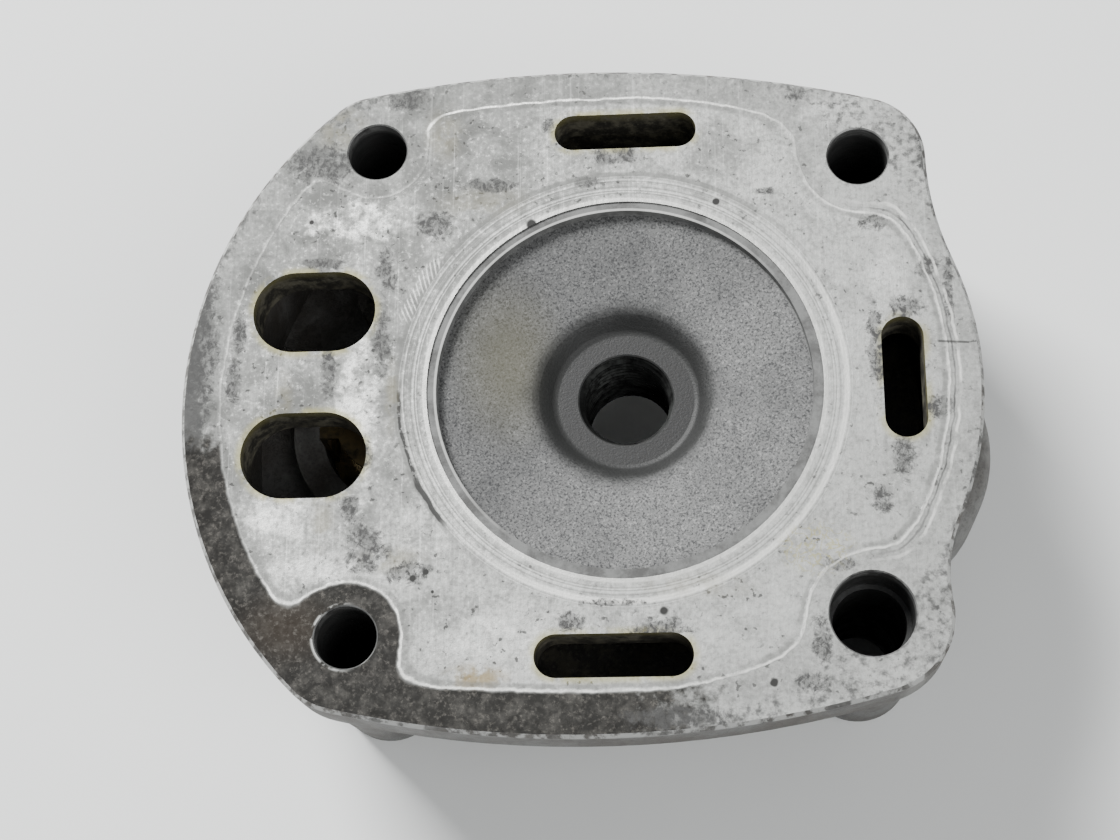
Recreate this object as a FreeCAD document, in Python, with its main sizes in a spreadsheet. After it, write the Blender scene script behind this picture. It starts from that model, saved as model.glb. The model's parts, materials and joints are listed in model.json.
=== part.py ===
import FreeCAD, Part
import math
import os

import Sketcher
from FreeCAD import Placement, Rotation, Vector

# Cylinder head of a small water-cooled two-stroke single, lying gasket face up.
# Frame: the origin is on the bore axis in the plane of the gasket face, +Z leaves the face
# towards the cylinder, and everything the head holds is below the face. Millimetres.

SIZES = {
    # stud pattern: it is not a rectangle
    "stud_tl_x": -37.2,
    "stud_tl_y": 38.5,
    "stud_tr_x": 35.3,
    "stud_tr_y": 35.0,
    "stud_bl_x": -39.7,
    "stud_bl_y": -36.6,
    "stud_br_x": 34.3,
    "stud_br_y": -34.5,
    "stud_hole_radius": 4.5,
    "dowel_radius": 6.0,
    "dowel_depth": 8.0,
    "dowel_stud_radius": 5.3,
    "mouth_chamfer": 0.2,
    # outline of the flange: an arc round each stud, joined by long tangent arcs
    "ear_tl": 9.6,
    "ear_tr": 10.0,
    "ear_bl": 10.8,
    "ear_br": 11.3,
    "side_left": 61.0,
    "side_top": 170.0,
    "side_bottom": 160.0,
    "side_right": 51.7,
    "notch_top": 46.0,
    "notch_bottom": 20.0,
    # heights below the gasket face
    "flange_depth": 9.0,
    "deck_thickness": 7.0,
    "foot_clearance": 0.9,
    "jacket_inset": 3.6,
    "jacket_wall": 3.0,
    "jacket_round": 2.2,
    "face_edge": 0.5,
    "flange_round": 1.2,
    # thicker side wall that shows past the lower notch of the outline
    "bulge_x": 32.5,
    "bulge_y": -7.5,
    "bulge_radius": 21.0,
    "bulge_drop": 0.4,
    "bulge_round": 3.0,
    # combustion chamber
    "chamber_radius": 27.5,
    "rim_step_radius": 28.9,
    "rim_step_depth": 0.25,
    "rim_wall_depth": 1.8,
    "pocket_top_radius": 13.2,
    "pocket_top_depth": 4.6,
    "pocket_floor_radius": 10.6,
    "pocket_floor_depth": 7.2,
    "pocket_top_round": 2.0,
    "pocket_floor_round": 1.2,
    "dome_radius": 31.5,
    "dome_wall": 6.0,
    # spark plug thread and seat
    "plug_radius": 7.0,
    "plug_thread_length": 18.8,
    "plug_seat_radius": 11.5,
    "plug_seat_recess": 1.0,
    "plug_boss_radius": 13.5,
    # stud columns and the ribs to them
    "column_radius": 8.8,
    "column_foot_radius": 8.2,
    "column_foot_edge": 0.7,
    "rib_width": 4.5,
    "rib_height": 5.0,
    "rib_start": 16.0,
    "rib_round": 1.3,
    # coolant ports through the deck
    "port_left_upper_x": -46.0,
    "port_left_upper_y": 12.7,
    "port_left_upper_length": 18.4,
    "port_left_upper_width": 12.6,
    "port_left_lower_x": -46.8,
    "port_left_lower_y": -9.6,
    "port_left_lower_length": 18.6,
    "port_left_lower_width": 13.0,
    "port_top_x": 0.6,
    "port_top_y": 40.5,
    "port_top_length": 21.4,
    "port_top_width": 5.7,
    "port_bottom_x": -1.8,
    "port_bottom_y": -39.8,
    "port_bottom_length": 22.4,
    "port_bottom_width": 6.2,
    "port_right_x": 40.4,
    "port_right_y": 0.1,
    "port_right_length": 18.3,
    "port_right_width": 6.1,
    "port_depth": 12.0,
    # thermostat pocket and cover
    "stat_x": -36.0,
    "stat_opening_radius": 11.8,
    "stat_ring_wall": 2.75,
    "stat_ring_height": 8.0,
    "cover_screw_gap": 0.8,
    "cover_ear_radius": 6.4,
    "cover_flange_rim": 2.6,
    "cover_flange_thickness": 5.0,
    "cover_wall": 2.6,
    "cover_round": 3.0,
    "cover_edge_round": 0.4,
    "spigot_radius": 7.0,
    "spigot_bore_radius": 5.2,
    "spigot_roof": 0.3,
    "spigot_length": 35.0,
    "spigot_bead": 0.8,
    # thermostat
    "seal_overlap": 1.8,
    "seal_lip": 0.2,
    "seal_thickness": 2.4,
    "seal_clearance": 0.15,
    "seal_groove_depth": 0.8,
    "stat_plate_thickness": 0.8,
    "valve_clearance": 2.8,
    "valve_lap": 1.0,
    "valve_thickness": 0.8,
    "valve_gap": 0.05,
    "bridge_width": 5.0,
    "bridge_height": 7.4,
    "bridge_clearance": 1.2,
    "bridge_top_half": 3.6,
    "cage_height": 12.4,
    "cage_clearance": 0.6,
    "cage_plate_inset": 0.2,
    "cage_hole_radius": 5.0,
    "cage_width": 6.0,
    "capsule_radius": 4.4,
    "capsule_wall": 0.7,
    "capsule_length": 9.5,
    "guide_radius": 3.0,
    "guide_length": 3.4,
    "guide_flange_thickness": 1.0,
    "piston_radius": 1.4,
    "piston_depth": 6.0,
    "piston_clearance": 0.05,
    "sleeve_wall": 0.7,
    "spring_inset": 1.6,
    "spring_wire_radius": 0.5,
    "spring_turns": 4.0,
    "jiggle_inset": 1.5,
    "jiggle_hole_radius": 0.8,
    "jiggle_shank_radius": 0.5,
    "jiggle_head_radius": 1.1,
    "jiggle_head_thickness": 0.6,
    "jiggle_travel": 1.4,
    # M6 screws with their washers and tapped holes
    "screw_radius": 3.0,
    "screw_clearance": 0.3,
    "thread_clearance": 0.05,
    "screw_length": 16.0,
    "screw_head_radius": 5.0,
    "screw_head_height": 6.0,
    "screw_key": 5.0,
    "screw_key_depth": 3.0,
    "screw_bottom_gap": 1.7,
    "screw_boss_wall": 3.3,
    "screw_boss_roof": 1.5,
    "washer_radius": 6.0,
    "washer_thickness": 1.2,
    # temperature sender, on an axis along +Y
    "sender_x": -18.0,
    "sender_drop": 17.6,
    "sender_face_y": 44.0,
    "sender_boss_radius": 9.2,
    "sender_spotface_radius": 8.3,
    "sender_boss_length": 13.0,
    "sender_radius": 5.0,
    "sender_seal_radius": 8.0,
    "sender_seal_thickness": 1.5,
    "sender_key": 14.0,
    "sender_key_height": 4.5,
    "sender_collar_radius": 5.6,
    "sender_collar_height": 1.2,
    "sender_bulb_radius": 3.5,
    "sender_bulb_length": 9.0,
    "sender_bore_radius": 2.4,
    "sender_tip_wall": 1.0,
    "thermistor_length": 2.0,
    "insulator_radius": 4.4,
    "insulator_height": 2.6,
    "spade_width": 6.3,
    "spade_thickness": 0.8,
    "spade_length": 4.2,
    "lead_radius": 0.6,
    # air-bleed screw on the top of the jacket
    "bleed_x": 29.0,
    "bleed_y": 5.0,
    "bleed_boss_radius": 6.5,
    "bleed_boss_height": 3.0,
    "bleed_boss_depth": 4.0,
    "bleed_washer_thickness": 1.0,
    "bleed_length": 9.0,
    "bleed_key": 10.0,
    "bleed_head_height": 4.5,
}

ALONG_MINUS_X = Rotation(Vector(0, 1, 0), -90)
ALONG_Y = Rotation(Vector(1, 0, 0), -90)
OVERLAP = 1.0  # how far a boss or a cut runs into what it joins, so that no face is shared

doc = FreeCAD.newDocument("cylinder_head")
sheet = doc.addObject("Spreadsheet::Sheet", "Sizes")


class Size:
    """A length with its number and the sheet expression that the number comes from."""

    def __init__(self, value, text):
        self.value = value
        self.text = text

    def __add__(self, other):
        other = as_size(other)
        return Size(self.value + other.value, f"({self.text} + {other.text})")

    def __sub__(self, other):
        other = as_size(other)
        return Size(self.value - other.value, f"({self.text} - {other.text})")

    def __mul__(self, other):
        other = as_size(other)
        return Size(self.value * other.value, f"({self.text} * {other.text})")

    def __truediv__(self, other):
        other = as_size(other)
        return Size(self.value / other.value, f"({self.text} / {other.text})")

    def __neg__(self):
        return Size(-self.value, f"(0 - {self.text})")

    def __radd__(self, other):
        return as_size(other) + self

    def __rsub__(self, other):
        return as_size(other) - self


def as_size(value):
    return value if isinstance(value, Size) else Size(float(value), f"{float(value):.9g}")


def distance(x, y):
    return Size(math.hypot(x.value, y.value), f"hypot({x.text}; {y.text})")


class Sheet:
    """The driving sizes by name, each one a Size that points at its cell or follows from others."""


S = Sheet()
for row, (alias, number) in enumerate(SIZES.items(), start=1):
    sheet.set(f"A{row}", alias)
    sheet.set(f"B{row}", str(number))
    sheet.setAlias(f"B{row}", alias)
    setattr(S, alias, Size(number, f"Sizes.{alias}"))
S.plug_seat_depth = S.pocket_floor_depth + S.plug_thread_length
S.jacket_depth = S.plug_seat_depth + S.plug_seat_recess
# the thermostat and its recess follow the opening that they stand on
S.seal_radius = S.stat_opening_radius + S.seal_overlap
S.seal_inner_radius = S.stat_opening_radius - S.seal_lip
S.stat_ring_radius = S.seal_radius + S.seal_clearance + S.stat_ring_wall
S.bridge_foot_radius = S.stat_opening_radius - S.bridge_clearance
S.cage_leg_radius = S.stat_opening_radius - S.cage_clearance
S.valve_radius = S.stat_opening_radius - S.valve_clearance
S.seat_radius = S.valve_radius - S.valve_lap
S.spring_radius = S.valve_radius - S.spring_inset
S.cage_plate_radius = S.valve_radius - S.cage_plate_inset
S.jiggle_offset = S.stat_opening_radius - S.jiggle_inset
S.cover_dome_radius = S.seal_inner_radius + S.cover_wall
S.cover_flange_radius = S.seal_radius + S.cover_flange_rim
S.cover_screw_offset = S.cover_dome_radius + S.washer_radius + S.cover_screw_gap
doc.recompute()


def bind(item, path, size):
    item.setExpression(path, as_size(size).text)


def bind_place(item, x=0.0, y=0.0, z=0.0, rotation=None):
    values = [as_size(v) for v in (x, y, z)]
    base = Vector(*[v.value for v in values])
    item.Placement = Placement(base, rotation or Rotation())
    for letter, value in zip("xyz", values):
        bind(item, f"Placement.Base.{letter}", value)
    return item


# ---------------------------------------------------------------- Part primitives and booleans

def cylinder(name, radius, height, x=0.0, y=0.0, z=0.0, rotation=None):
    item = doc.addObject("Part::Cylinder", name)
    bind(item, "Radius", radius)
    bind(item, "Height", height)
    return bind_place(item, x, y, z, rotation)


def cone(name, radius_low, radius_high, height, x=0.0, y=0.0, z=0.0):
    item = doc.addObject("Part::Cone", name)
    bind(item, "Radius1", radius_low)
    bind(item, "Radius2", radius_high)
    bind(item, "Height", height)
    return bind_place(item, x, y, z)


def box(name, length, width, height, x=0.0, y=0.0, z=0.0):
    item = doc.addObject("Part::Box", name)
    bind(item, "Length", length)
    bind(item, "Width", width)
    bind(item, "Height", height)
    return bind_place(item, x, y, z)


def round_off(name, base, test, radius):
    """Round the edges of a finished shape that pass the test."""
    doc.recompute()
    item = doc.addObject("Part::Fillet", name)
    item.Base = base
    chosen = edges_where(base.Shape, test)
    item.Edges = [(int(edge[4:]), radius.value, radius.value) for edge in chosen]
    return item


def fuse(name, shapes):
    item = doc.addObject("Part::MultiFuse", name)
    item.Shapes = shapes
    item.Refine = True
    return item


def cut(name, base, tool):
    item = doc.addObject("Part::Cut", name)
    item.Base = base
    item.Tool = tool
    item.Refine = True
    return item


# ---------------------------------------------------------------- PartDesign bodies

def new_body(name):
    body = doc.addObject("PartDesign::Body", name)
    body.Label = name
    return body


def new_sketch(body, name, role, offset=0.0):
    plane = next(f for f in body.Origin.OriginFeatures if f.Role == role)
    sketch = body.newObject("Sketcher::SketchObject", name)
    sketch.AttachmentSupport = [(plane, "")]
    sketch.MapMode = "FlatFace"
    bind(sketch, "AttachmentOffset.Base.z", offset)
    return sketch


def fix_point(sketch, geometry, position, x, y):
    """Hold one point of the sketch at x, y, on the axis itself where a coordinate is nought."""
    for kind, axis, value in (("DistanceX", -2, as_size(x)), ("DistanceY", -1, as_size(y))):
        if value.value == 0.0:
            sketch.addConstraint(Sketcher.Constraint("PointOnObject", geometry, position, axis))
        else:
            index = sketch.addConstraint(
                Sketcher.Constraint(kind, geometry, position, value.value))
            bind(sketch, f"Constraints[{index}]", value)


def fix_radius(sketch, geometry, radius):
    radius = as_size(radius)
    index = sketch.addConstraint(Sketcher.Constraint("Radius", geometry, radius.value))
    bind(sketch, f"Constraints[{index}]", radius)


def draw_polygon(sketch, points):
    points = [(as_size(x), as_size(y)) for x, y in points]
    corners = [Vector(x.value, y.value, 0) for x, y in points]
    count = len(corners)
    for i in range(count):
        sketch.addGeometry(Part.LineSegment(corners[i], corners[(i + 1) % count]), False)
    for i in range(count):
        sketch.addConstraint(Sketcher.Constraint("Coincident", i, 2, (i + 1) % count, 1))
    for i, (x, y) in enumerate(points):
        fix_point(sketch, i, 1, x, y)


def draw_circle(sketch, x, y, radius):
    x, y, radius = as_size(x), as_size(y), as_size(radius)
    circle = Part.Circle(Vector(x.value, y.value, 0), Vector(0, 0, 1), radius.value)
    index = sketch.addGeometry(circle, False)
    fix_point(sketch, index, 3, x, y)
    fix_radius(sketch, index, radius)


def draw_slot(sketch, x, y, length, width, upright=False):
    """A straight-sided slot with round ends."""
    radius = width / 2
    reach = length / 2 - radius
    if upright:
        ends = [(x, y + reach), (x, y - reach)]
        first = 0.0
    else:
        ends = [(x - reach, y), (x + reach, y)]
        first = math.pi / 2
    for i, (cx, cy) in enumerate(ends):
        circle = Part.Circle(Vector(cx.value, cy.value, 0), Vector(0, 0, 1), radius.value)
        start = first + i * math.pi
        sketch.addGeometry(Part.ArcOfCircle(circle, start, start + math.pi), False)
    arcs = [sketch.Geometry[0], sketch.Geometry[1]]
    sketch.addGeometry(Part.LineSegment(arcs[0].EndPoint, arcs[1].StartPoint), False)
    sketch.addGeometry(Part.LineSegment(arcs[1].EndPoint, arcs[0].StartPoint), False)
    for one, other in (((0, 2), (2, 1)), ((2, 2), (1, 1)), ((1, 2), (3, 1)), ((3, 2), (0, 1))):
        sketch.addConstraint(Sketcher.Constraint("Tangent", *one, *other))
    for i, (cx, cy) in enumerate(ends):
        fix_point(sketch, i, 3, cx, cy)
        fix_radius(sketch, i, radius)


def pad(body, sketch, length, upward=True, midplane=False):
    feature = body.newObject("PartDesign::Pad", f"{sketch.Name}_pad")
    feature.Profile = sketch
    feature.Reversed = not upward
    feature.Midplane = midplane
    bind(feature, "Length", length)
    return feature


def pocket(body, sketch, length, upward):
    """Cut from the sketch's plane; upward is along the plane's own normal."""
    feature = body.newObject("PartDesign::Pocket", f"{sketch.Name}_pocket")
    feature.Profile = sketch
    feature.Reversed = upward
    bind(feature, "Length", length)
    return feature


def revolve(body, name, points):
    """Turn a closed outline of (radius, height) points round the body's Z axis."""
    sketch = new_sketch(body, f"{name}_outline", "XZ_Plane")
    draw_polygon(sketch, points)
    feature = body.newObject("PartDesign::Revolution", f"{name}_turned")
    feature.Profile = sketch
    feature.ReferenceAxis = (sketch, ["V_Axis"])
    feature.Angle = 360
    return feature


def ring(name, inner, outer, low, high):
    body = new_body(name)
    revolve(body, name, [(inner, low), (outer, low), (outer, high), (inner, high)])
    return body


def hexagon(across_flats):
    half = across_flats / 2
    corner = across_flats / math.sqrt(3)
    near = corner / 2
    return [(corner, 0), (near, half), (-near, half), (-corner, 0), (-near, -half), (near, -half)]


def edges_where(shape, test):
    return [f"Edge{i}" for i, edge in enumerate(shape.Edges, start=1) if test(edge)]


def edge_at_height(height):
    return lambda edge: all(abs(v.Z - height) < 1e-6 for v in edge.Vertexes)


def circle_of(radius, height):
    def test(edge):
        curve = edge.Curve
        return (isinstance(curve, Part.Circle) and abs(curve.Radius - radius) < 1e-6
                and abs(curve.Center.z - height) < 1e-6)
    return test


def dress(body, kind, base, test, size):
    """Fillet or chamfer the edges of the last feature that pass the test."""
    doc.recompute()
    feature = body.newObject(f"PartDesign::{kind}", f"{base.Name}_{kind.lower()}")
    feature.Base = (base, edges_where(base.Shape, test))
    bind(feature, "Radius" if kind == "Fillet" else "Size", size)
    return feature


# ---------------------------------------------------------------- flange outline

def meeting_point(first, first_reach, second, second_reach, near):
    """The point at the given distances from two others, on the side of near."""
    span = second - first
    along = span.Length
    step = (first_reach ** 2 - second_reach ** 2 + along ** 2) / (2 * along)
    rise = math.sqrt(first_reach ** 2 - step ** 2)
    unit = span / along
    normal = Vector(-unit.y, unit.x, 0)
    middle = first + unit * step
    choices = [middle + normal * rise, middle - normal * rise]
    return min(choices, key=lambda point: (point - near).Length)


def touch(centre, radius, other):
    """Where the circle's ray towards, or straight away from, the other centre leaves it."""
    return centre + (other - centre).normalize() * radius


def draw_outline(sketch, inset):
    """The flange's outline, or one set in from it: ten arcs, each tangent to the next."""
    ears = {}
    for corner in ("tl", "tr", "bl", "br"):
        place = (getattr(S, f"stud_{corner}_x"), getattr(S, f"stud_{corner}_y"))
        radius = getattr(S, f"ear_{corner}") - inset
        ears[corner] = (Vector(place[0].value, place[1].value, 0), radius, place)
    bore = Vector(0, 0, 0)
    right = S.side_right - inset

    def side(one, other, radius, near):
        radius = radius - inset
        (a, ra, _), (b, rb, _) = ears[one], ears[other]
        centre = meeting_point(
            a, radius.value - ra.value, b, radius.value - rb.value, near)
        return centre, radius

    def notch(corner, radius, near):
        radius = radius + inset
        ear, ear_radius, _ = ears[corner]
        centre = meeting_point(
            bore, radius.value + right.value, ear, radius.value + ear_radius.value, near)
        return centre, radius

    top, top_radius = side("tl", "tr", S.side_top, Vector(0, -100, 0))
    left, left_radius = side("tl", "bl", S.side_left, Vector(0, 0, 0))
    bottom, bottom_radius = side("bl", "br", S.side_bottom, Vector(0, 100, 0))
    upper, upper_radius = notch("tr", S.notch_top, Vector(90, 40, 0))
    lower, lower_radius = notch("br", S.notch_bottom, Vector(70, -40, 0))
    tl, tr, bl, br = (ears[corner][0] for corner in ("tl", "tr", "bl", "br"))
    joints = [
        touch(bore, right.value, lower),
        touch(bore, right.value, upper),
        touch(tr, ears["tr"][1].value, upper),
        touch(top, top_radius.value, tr),
        touch(top, top_radius.value, tl),
        touch(left, left_radius.value, tl),
        touch(left, left_radius.value, bl),
        touch(bottom, bottom_radius.value, bl),
        touch(bottom, bottom_radius.value, br),
        touch(br, ears["br"][1].value, lower),
    ]
    # centre, radius, and whether the arc bulges outwards, anticlockwise from the right side
    arcs = [
        (bore, right, True),
        (upper, upper_radius, False),
        (tr, ears["tr"][1], True),
        (top, top_radius, True),
        (tl, ears["tl"][1], True),
        (left, left_radius, True),
        (bl, ears["bl"][1], True),
        (bottom, bottom_radius, True),
        (br, ears["br"][1], True),
        (lower, lower_radius, False),
    ]
    for i, (centre, radius, outward) in enumerate(arcs):
        start, end = joints[i], joints[(i + 1) % len(joints)]
        if not outward:
            start, end = end, start
        angles = [math.atan2(p.y - centre.y, p.x - centre.x) for p in (start, end)]
        if angles[1] < angles[0]:
            angles[1] += 2 * math.pi
        circle = Part.Circle(centre, Vector(0, 0, 1), radius.value)
        sketch.addGeometry(Part.ArcOfCircle(circle, *angles), False)
    for i in range(len(arcs)):
        following = (i + 1) % len(arcs)
        leave = 2 if arcs[i][2] else 1
        enter = 1 if arcs[following][2] else 2
        sketch.addConstraint(Sketcher.Constraint("Tangent", i, leave, following, enter))
    fix_point(sketch, 0, 3, 0, 0)
    for index, corner in ((2, "tr"), (4, "tl"), (6, "bl"), (8, "br")):
        fix_point(sketch, index, 3, *ears[corner][2])
    for i, (_, radius, _) in enumerate(arcs):
        fix_radius(sketch, i, radius)


# ---------------------------------------------------------------- head casting

CORNERS = ("tl", "tr", "bl", "br")


def spigot_drop():
    """How far the spigot's axis is below the cover's mounting face."""
    return S.spigot_radius + S.spigot_roof


def cover_height():
    return spigot_drop() + S.spigot_radius + S.spigot_roof


def total_height():
    """The stud columns end just past the cover, so the head can stand on them."""
    return S.jacket_depth + cover_height() + S.foot_clearance


def stud(corner):
    return getattr(S, f"stud_{corner}_x"), getattr(S, f"stud_{corner}_y")


def casting_block():
    """The flange with the jacket block behind it, without any hollow."""
    body = new_body("casting_block")
    flange = new_sketch(body, "flange_outline", "XY_Plane")
    draw_outline(flange, as_size(0))
    pad(body, flange, S.flange_depth, upward=False)
    jacket = new_sketch(body, "jacket_outline", "XY_Plane", -S.flange_depth + OVERLAP)
    draw_outline(jacket, S.jacket_inset)
    block = pad(body, jacket, S.jacket_depth - S.flange_depth + OVERLAP, upward=False)
    rounded = dress(body, "Fillet", block, edge_at_height(-S.jacket_depth.value), S.jacket_round)
    stepped = dress(body, "Fillet", rounded, edge_at_height(-S.flange_depth.value), S.flange_round)
    dress(body, "Chamfer", stepped, edge_at_height(0.0), S.face_edge)
    return body


def side_bulge():
    """The side wall beside the right port, where it does not follow the notch above it."""
    high = -S.flange_depth - S.bulge_drop
    plain = cylinder("bulge", S.bulge_radius, S.jacket_depth + high,
                     S.bulge_x, S.bulge_y, -S.jacket_depth)
    return round_off("bulge_rounded", plain,
                     lambda edge: isinstance(edge.Curve, Part.Circle), S.bulge_round)


def water_core():
    """The sand core that leaves the water jacket hollow."""
    body = new_body("water_core")
    sketch = new_sketch(body, "core_outline", "XY_Plane", -S.deck_thickness)
    draw_outline(sketch, S.jacket_inset + S.jacket_wall)
    depth = S.jacket_depth - S.jacket_wall - S.deck_thickness
    pad(body, sketch, depth, upward=False)
    return body


def column(corner):
    """A stud's column, drawn in a little towards its foot, with the foot's edge broken."""
    body = new_body(f"column_{corner}")
    foot = -total_height()
    high = OVERLAP - S.deck_thickness
    revolve(body, f"column_{corner}", [
        (0, foot),
        (S.column_foot_radius - S.column_foot_edge, foot),
        (S.column_foot_radius, foot + S.column_foot_edge),
        (S.column_radius, -S.jacket_depth),
        (S.column_radius, high),
        (0, high),
    ])
    x, y = stud(corner)
    return bind_place(body, x, y)


def rib(corner):
    """A round-edged rib on the jacket, from beside the plug seat to a stud column."""
    x, y = stud(corner)
    length = distance(x, y) - S.rib_start
    item = box(f"rib_{corner}", length, S.rib_width, S.rib_height + OVERLAP)
    angle = math.atan2(y.value, x.value)
    unit_x, unit_y = x / distance(x, y), y / distance(x, y)
    half = S.rib_width / 2
    low = -S.jacket_depth - S.rib_height
    bind_place(item, unit_x * S.rib_start + unit_y * half, unit_y * S.rib_start - unit_x * half,
               low, Rotation(Vector(0, 0, 1), math.degrees(angle)))
    return round_off(f"rib_{corner}_rounded", item, edge_at_height(low.value), S.rib_round)


def casting_bosses():
    """Everything solid inside the jacket or standing out of it."""
    bosses = []
    for corner in CORNERS:
        bosses.append(column(corner))
        bosses.append(rib(corner))
    dome_low = S.pocket_floor_depth + S.dome_wall
    dome_height = dome_low - S.deck_thickness + OVERLAP
    bosses.append(cone("dome", S.plug_boss_radius + S.dome_wall, S.dome_radius, dome_height,
                       z=-dome_low))
    bosses.append(cylinder("plug_boss", S.plug_boss_radius, S.jacket_depth - S.deck_thickness,
                           z=-S.jacket_depth))
    bosses.append(cylinder("stat_ring", S.stat_ring_radius, S.stat_ring_height,
                           S.stat_x, 0, -S.jacket_depth))
    for sign, side in ((1, "upper"), (-1, "lower")):
        bosses.append(cylinder(f"screw_boss_{side}", S.screw_radius + S.screw_boss_wall,
                               tapped_depth() + S.screw_boss_roof,
                               S.stat_x, S.cover_screw_offset * sign, -S.jacket_depth))
    bosses.append(cylinder("sender_boss", S.sender_boss_radius, S.sender_boss_length, S.sender_x,
                           S.sender_face_y - S.sender_boss_length, -S.sender_drop, ALONG_Y))
    bosses.append(cylinder("bleed_boss", S.bleed_boss_radius,
                           S.bleed_boss_height + S.jacket_wall + S.bleed_boss_depth,
                           S.bleed_x, S.bleed_y, -S.jacket_depth - S.bleed_boss_height))
    return bosses


def tapped_depth():
    """How deep the cover screws' blind holes are."""
    grip = S.cover_flange_thickness + S.washer_thickness
    return S.screw_length - grip + S.screw_bottom_gap


def chamber_tool():
    body = new_body("chamber_tool")
    turned = revolve(body, "chamber", [
        (0, OVERLAP),
        (S.rim_step_radius, OVERLAP),
        (S.rim_step_radius, -S.rim_step_depth),
        (S.chamber_radius, -S.rim_step_depth),
        (S.chamber_radius, -S.rim_wall_depth),
        (S.pocket_top_radius, -S.pocket_top_depth),
        (S.pocket_floor_radius, -S.pocket_floor_depth),
        (0, -S.pocket_floor_depth),
    ])
    top = circle_of(S.pocket_top_radius.value, -S.pocket_top_depth.value)
    rounded = dress(body, "Fillet", turned, top, S.pocket_top_round)
    floor = circle_of(S.pocket_floor_radius.value, -S.pocket_floor_depth.value)
    dress(body, "Fillet", rounded, floor, S.pocket_floor_round)
    return body


def port_tool(name, upright=False):
    body = new_body(f"{name}_tool")
    sketch = new_sketch(body, f"{name}_outline", "XY_Plane", OVERLAP)
    x, y = getattr(S, f"{name}_x"), getattr(S, f"{name}_y")
    draw_slot(sketch, x, y, getattr(S, f"{name}_length"), getattr(S, f"{name}_width"), upright)
    pad(body, sketch, S.port_depth + OVERLAP, upward=False)
    return body


def mouth(name, radius, x, y, z, upward):
    """The small chamfer at the end of a drilled hole."""
    wide, narrow = radius + S.mouth_chamfer, radius
    if upward:
        return cone(name, narrow, wide, S.mouth_chamfer, x, y, z - S.mouth_chamfer)
    return cone(name, wide, narrow, S.mouth_chamfer, x, y, z)


def casting_cuts():
    """Every machined hole, the chamber and the ports."""
    tools = [chamber_tool()]
    for name in ("port_left_upper", "port_left_lower", "port_top", "port_bottom"):
        tools.append(port_tool(name))
    tools.append(port_tool("port_right", upright=True))
    for corner in CORNERS:
        x, y = stud(corner)
        radius = S.dowel_stud_radius if corner == "br" else S.stud_hole_radius
        tools.append(cylinder(f"hole_{corner}", radius, total_height() + OVERLAP * 2,
                              x, y, -total_height() - OVERLAP))
        face_radius = S.dowel_radius if corner == "br" else radius
        tools.append(mouth(f"mouth_{corner}", face_radius, x, y, as_size(0), upward=True))
        tools.append(mouth(f"seat_{corner}", radius, x, y, -total_height(), upward=False))
    tools.append(cylinder("dowel_bore", S.dowel_radius, S.dowel_depth + OVERLAP,
                          S.stud_br_x, S.stud_br_y, -S.dowel_depth))
    tools.append(cylinder("plug_bore", S.plug_radius, S.jacket_depth + OVERLAP, 0, 0,
                          -S.jacket_depth - OVERLAP))
    tools.append(mouth("plug_mouth", S.plug_radius, 0, 0, -S.pocket_floor_depth, upward=True))
    tools.append(cylinder("plug_seat", S.plug_seat_radius,
                          S.jacket_depth - S.plug_seat_depth + OVERLAP, 0, 0,
                          -S.jacket_depth - OVERLAP))
    tools.append(mouth("plug_entry", S.plug_radius, 0, 0, -S.plug_seat_depth, upward=False))
    tools.append(cylinder("stat_opening", S.stat_opening_radius, S.stat_ring_height + OVERLAP * 2,
                          S.stat_x, 0, -S.jacket_depth - OVERLAP))
    tools.append(cylinder("stat_recess", S.seal_radius + S.seal_clearance,
                          S.seal_thickness + OVERLAP, S.stat_x, 0, -S.jacket_depth - OVERLAP))
    for sign, side in ((1, "upper"), (-1, "lower")):
        tools.append(cylinder(f"screw_hole_{side}", S.screw_radius, tapped_depth() + OVERLAP,
                              S.stat_x, S.cover_screw_offset * sign,
                              -S.jacket_depth - OVERLAP))
    tools.append(cylinder("sender_spotface", S.sender_spotface_radius, S.side_top, S.sender_x,
                          S.sender_face_y, -S.sender_drop, ALONG_Y))
    tools.append(cylinder("sender_hole", S.sender_radius, S.sender_boss_length + OVERLAP * 2,
                          S.sender_x, S.sender_face_y - S.sender_boss_length - OVERLAP,
                          -S.sender_drop, ALONG_Y))
    tools.append(cylinder("bleed_hole", S.screw_radius,
                          S.bleed_boss_height + S.jacket_wall + S.bleed_boss_depth + OVERLAP * 2,
                          S.bleed_x, S.bleed_y, -S.jacket_depth - S.bleed_boss_height - OVERLAP))
    return tools


def head_casting():
    outside = fuse("casting_outside", [casting_block(), side_bulge()])
    shell = cut("casting_shell", outside, water_core())
    solid = fuse("casting_solid", [shell] + casting_bosses())
    return cut("head_casting", solid, fuse("casting_tools", casting_cuts()))


# ---------------------------------------------------------------- thermostat cover

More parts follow.
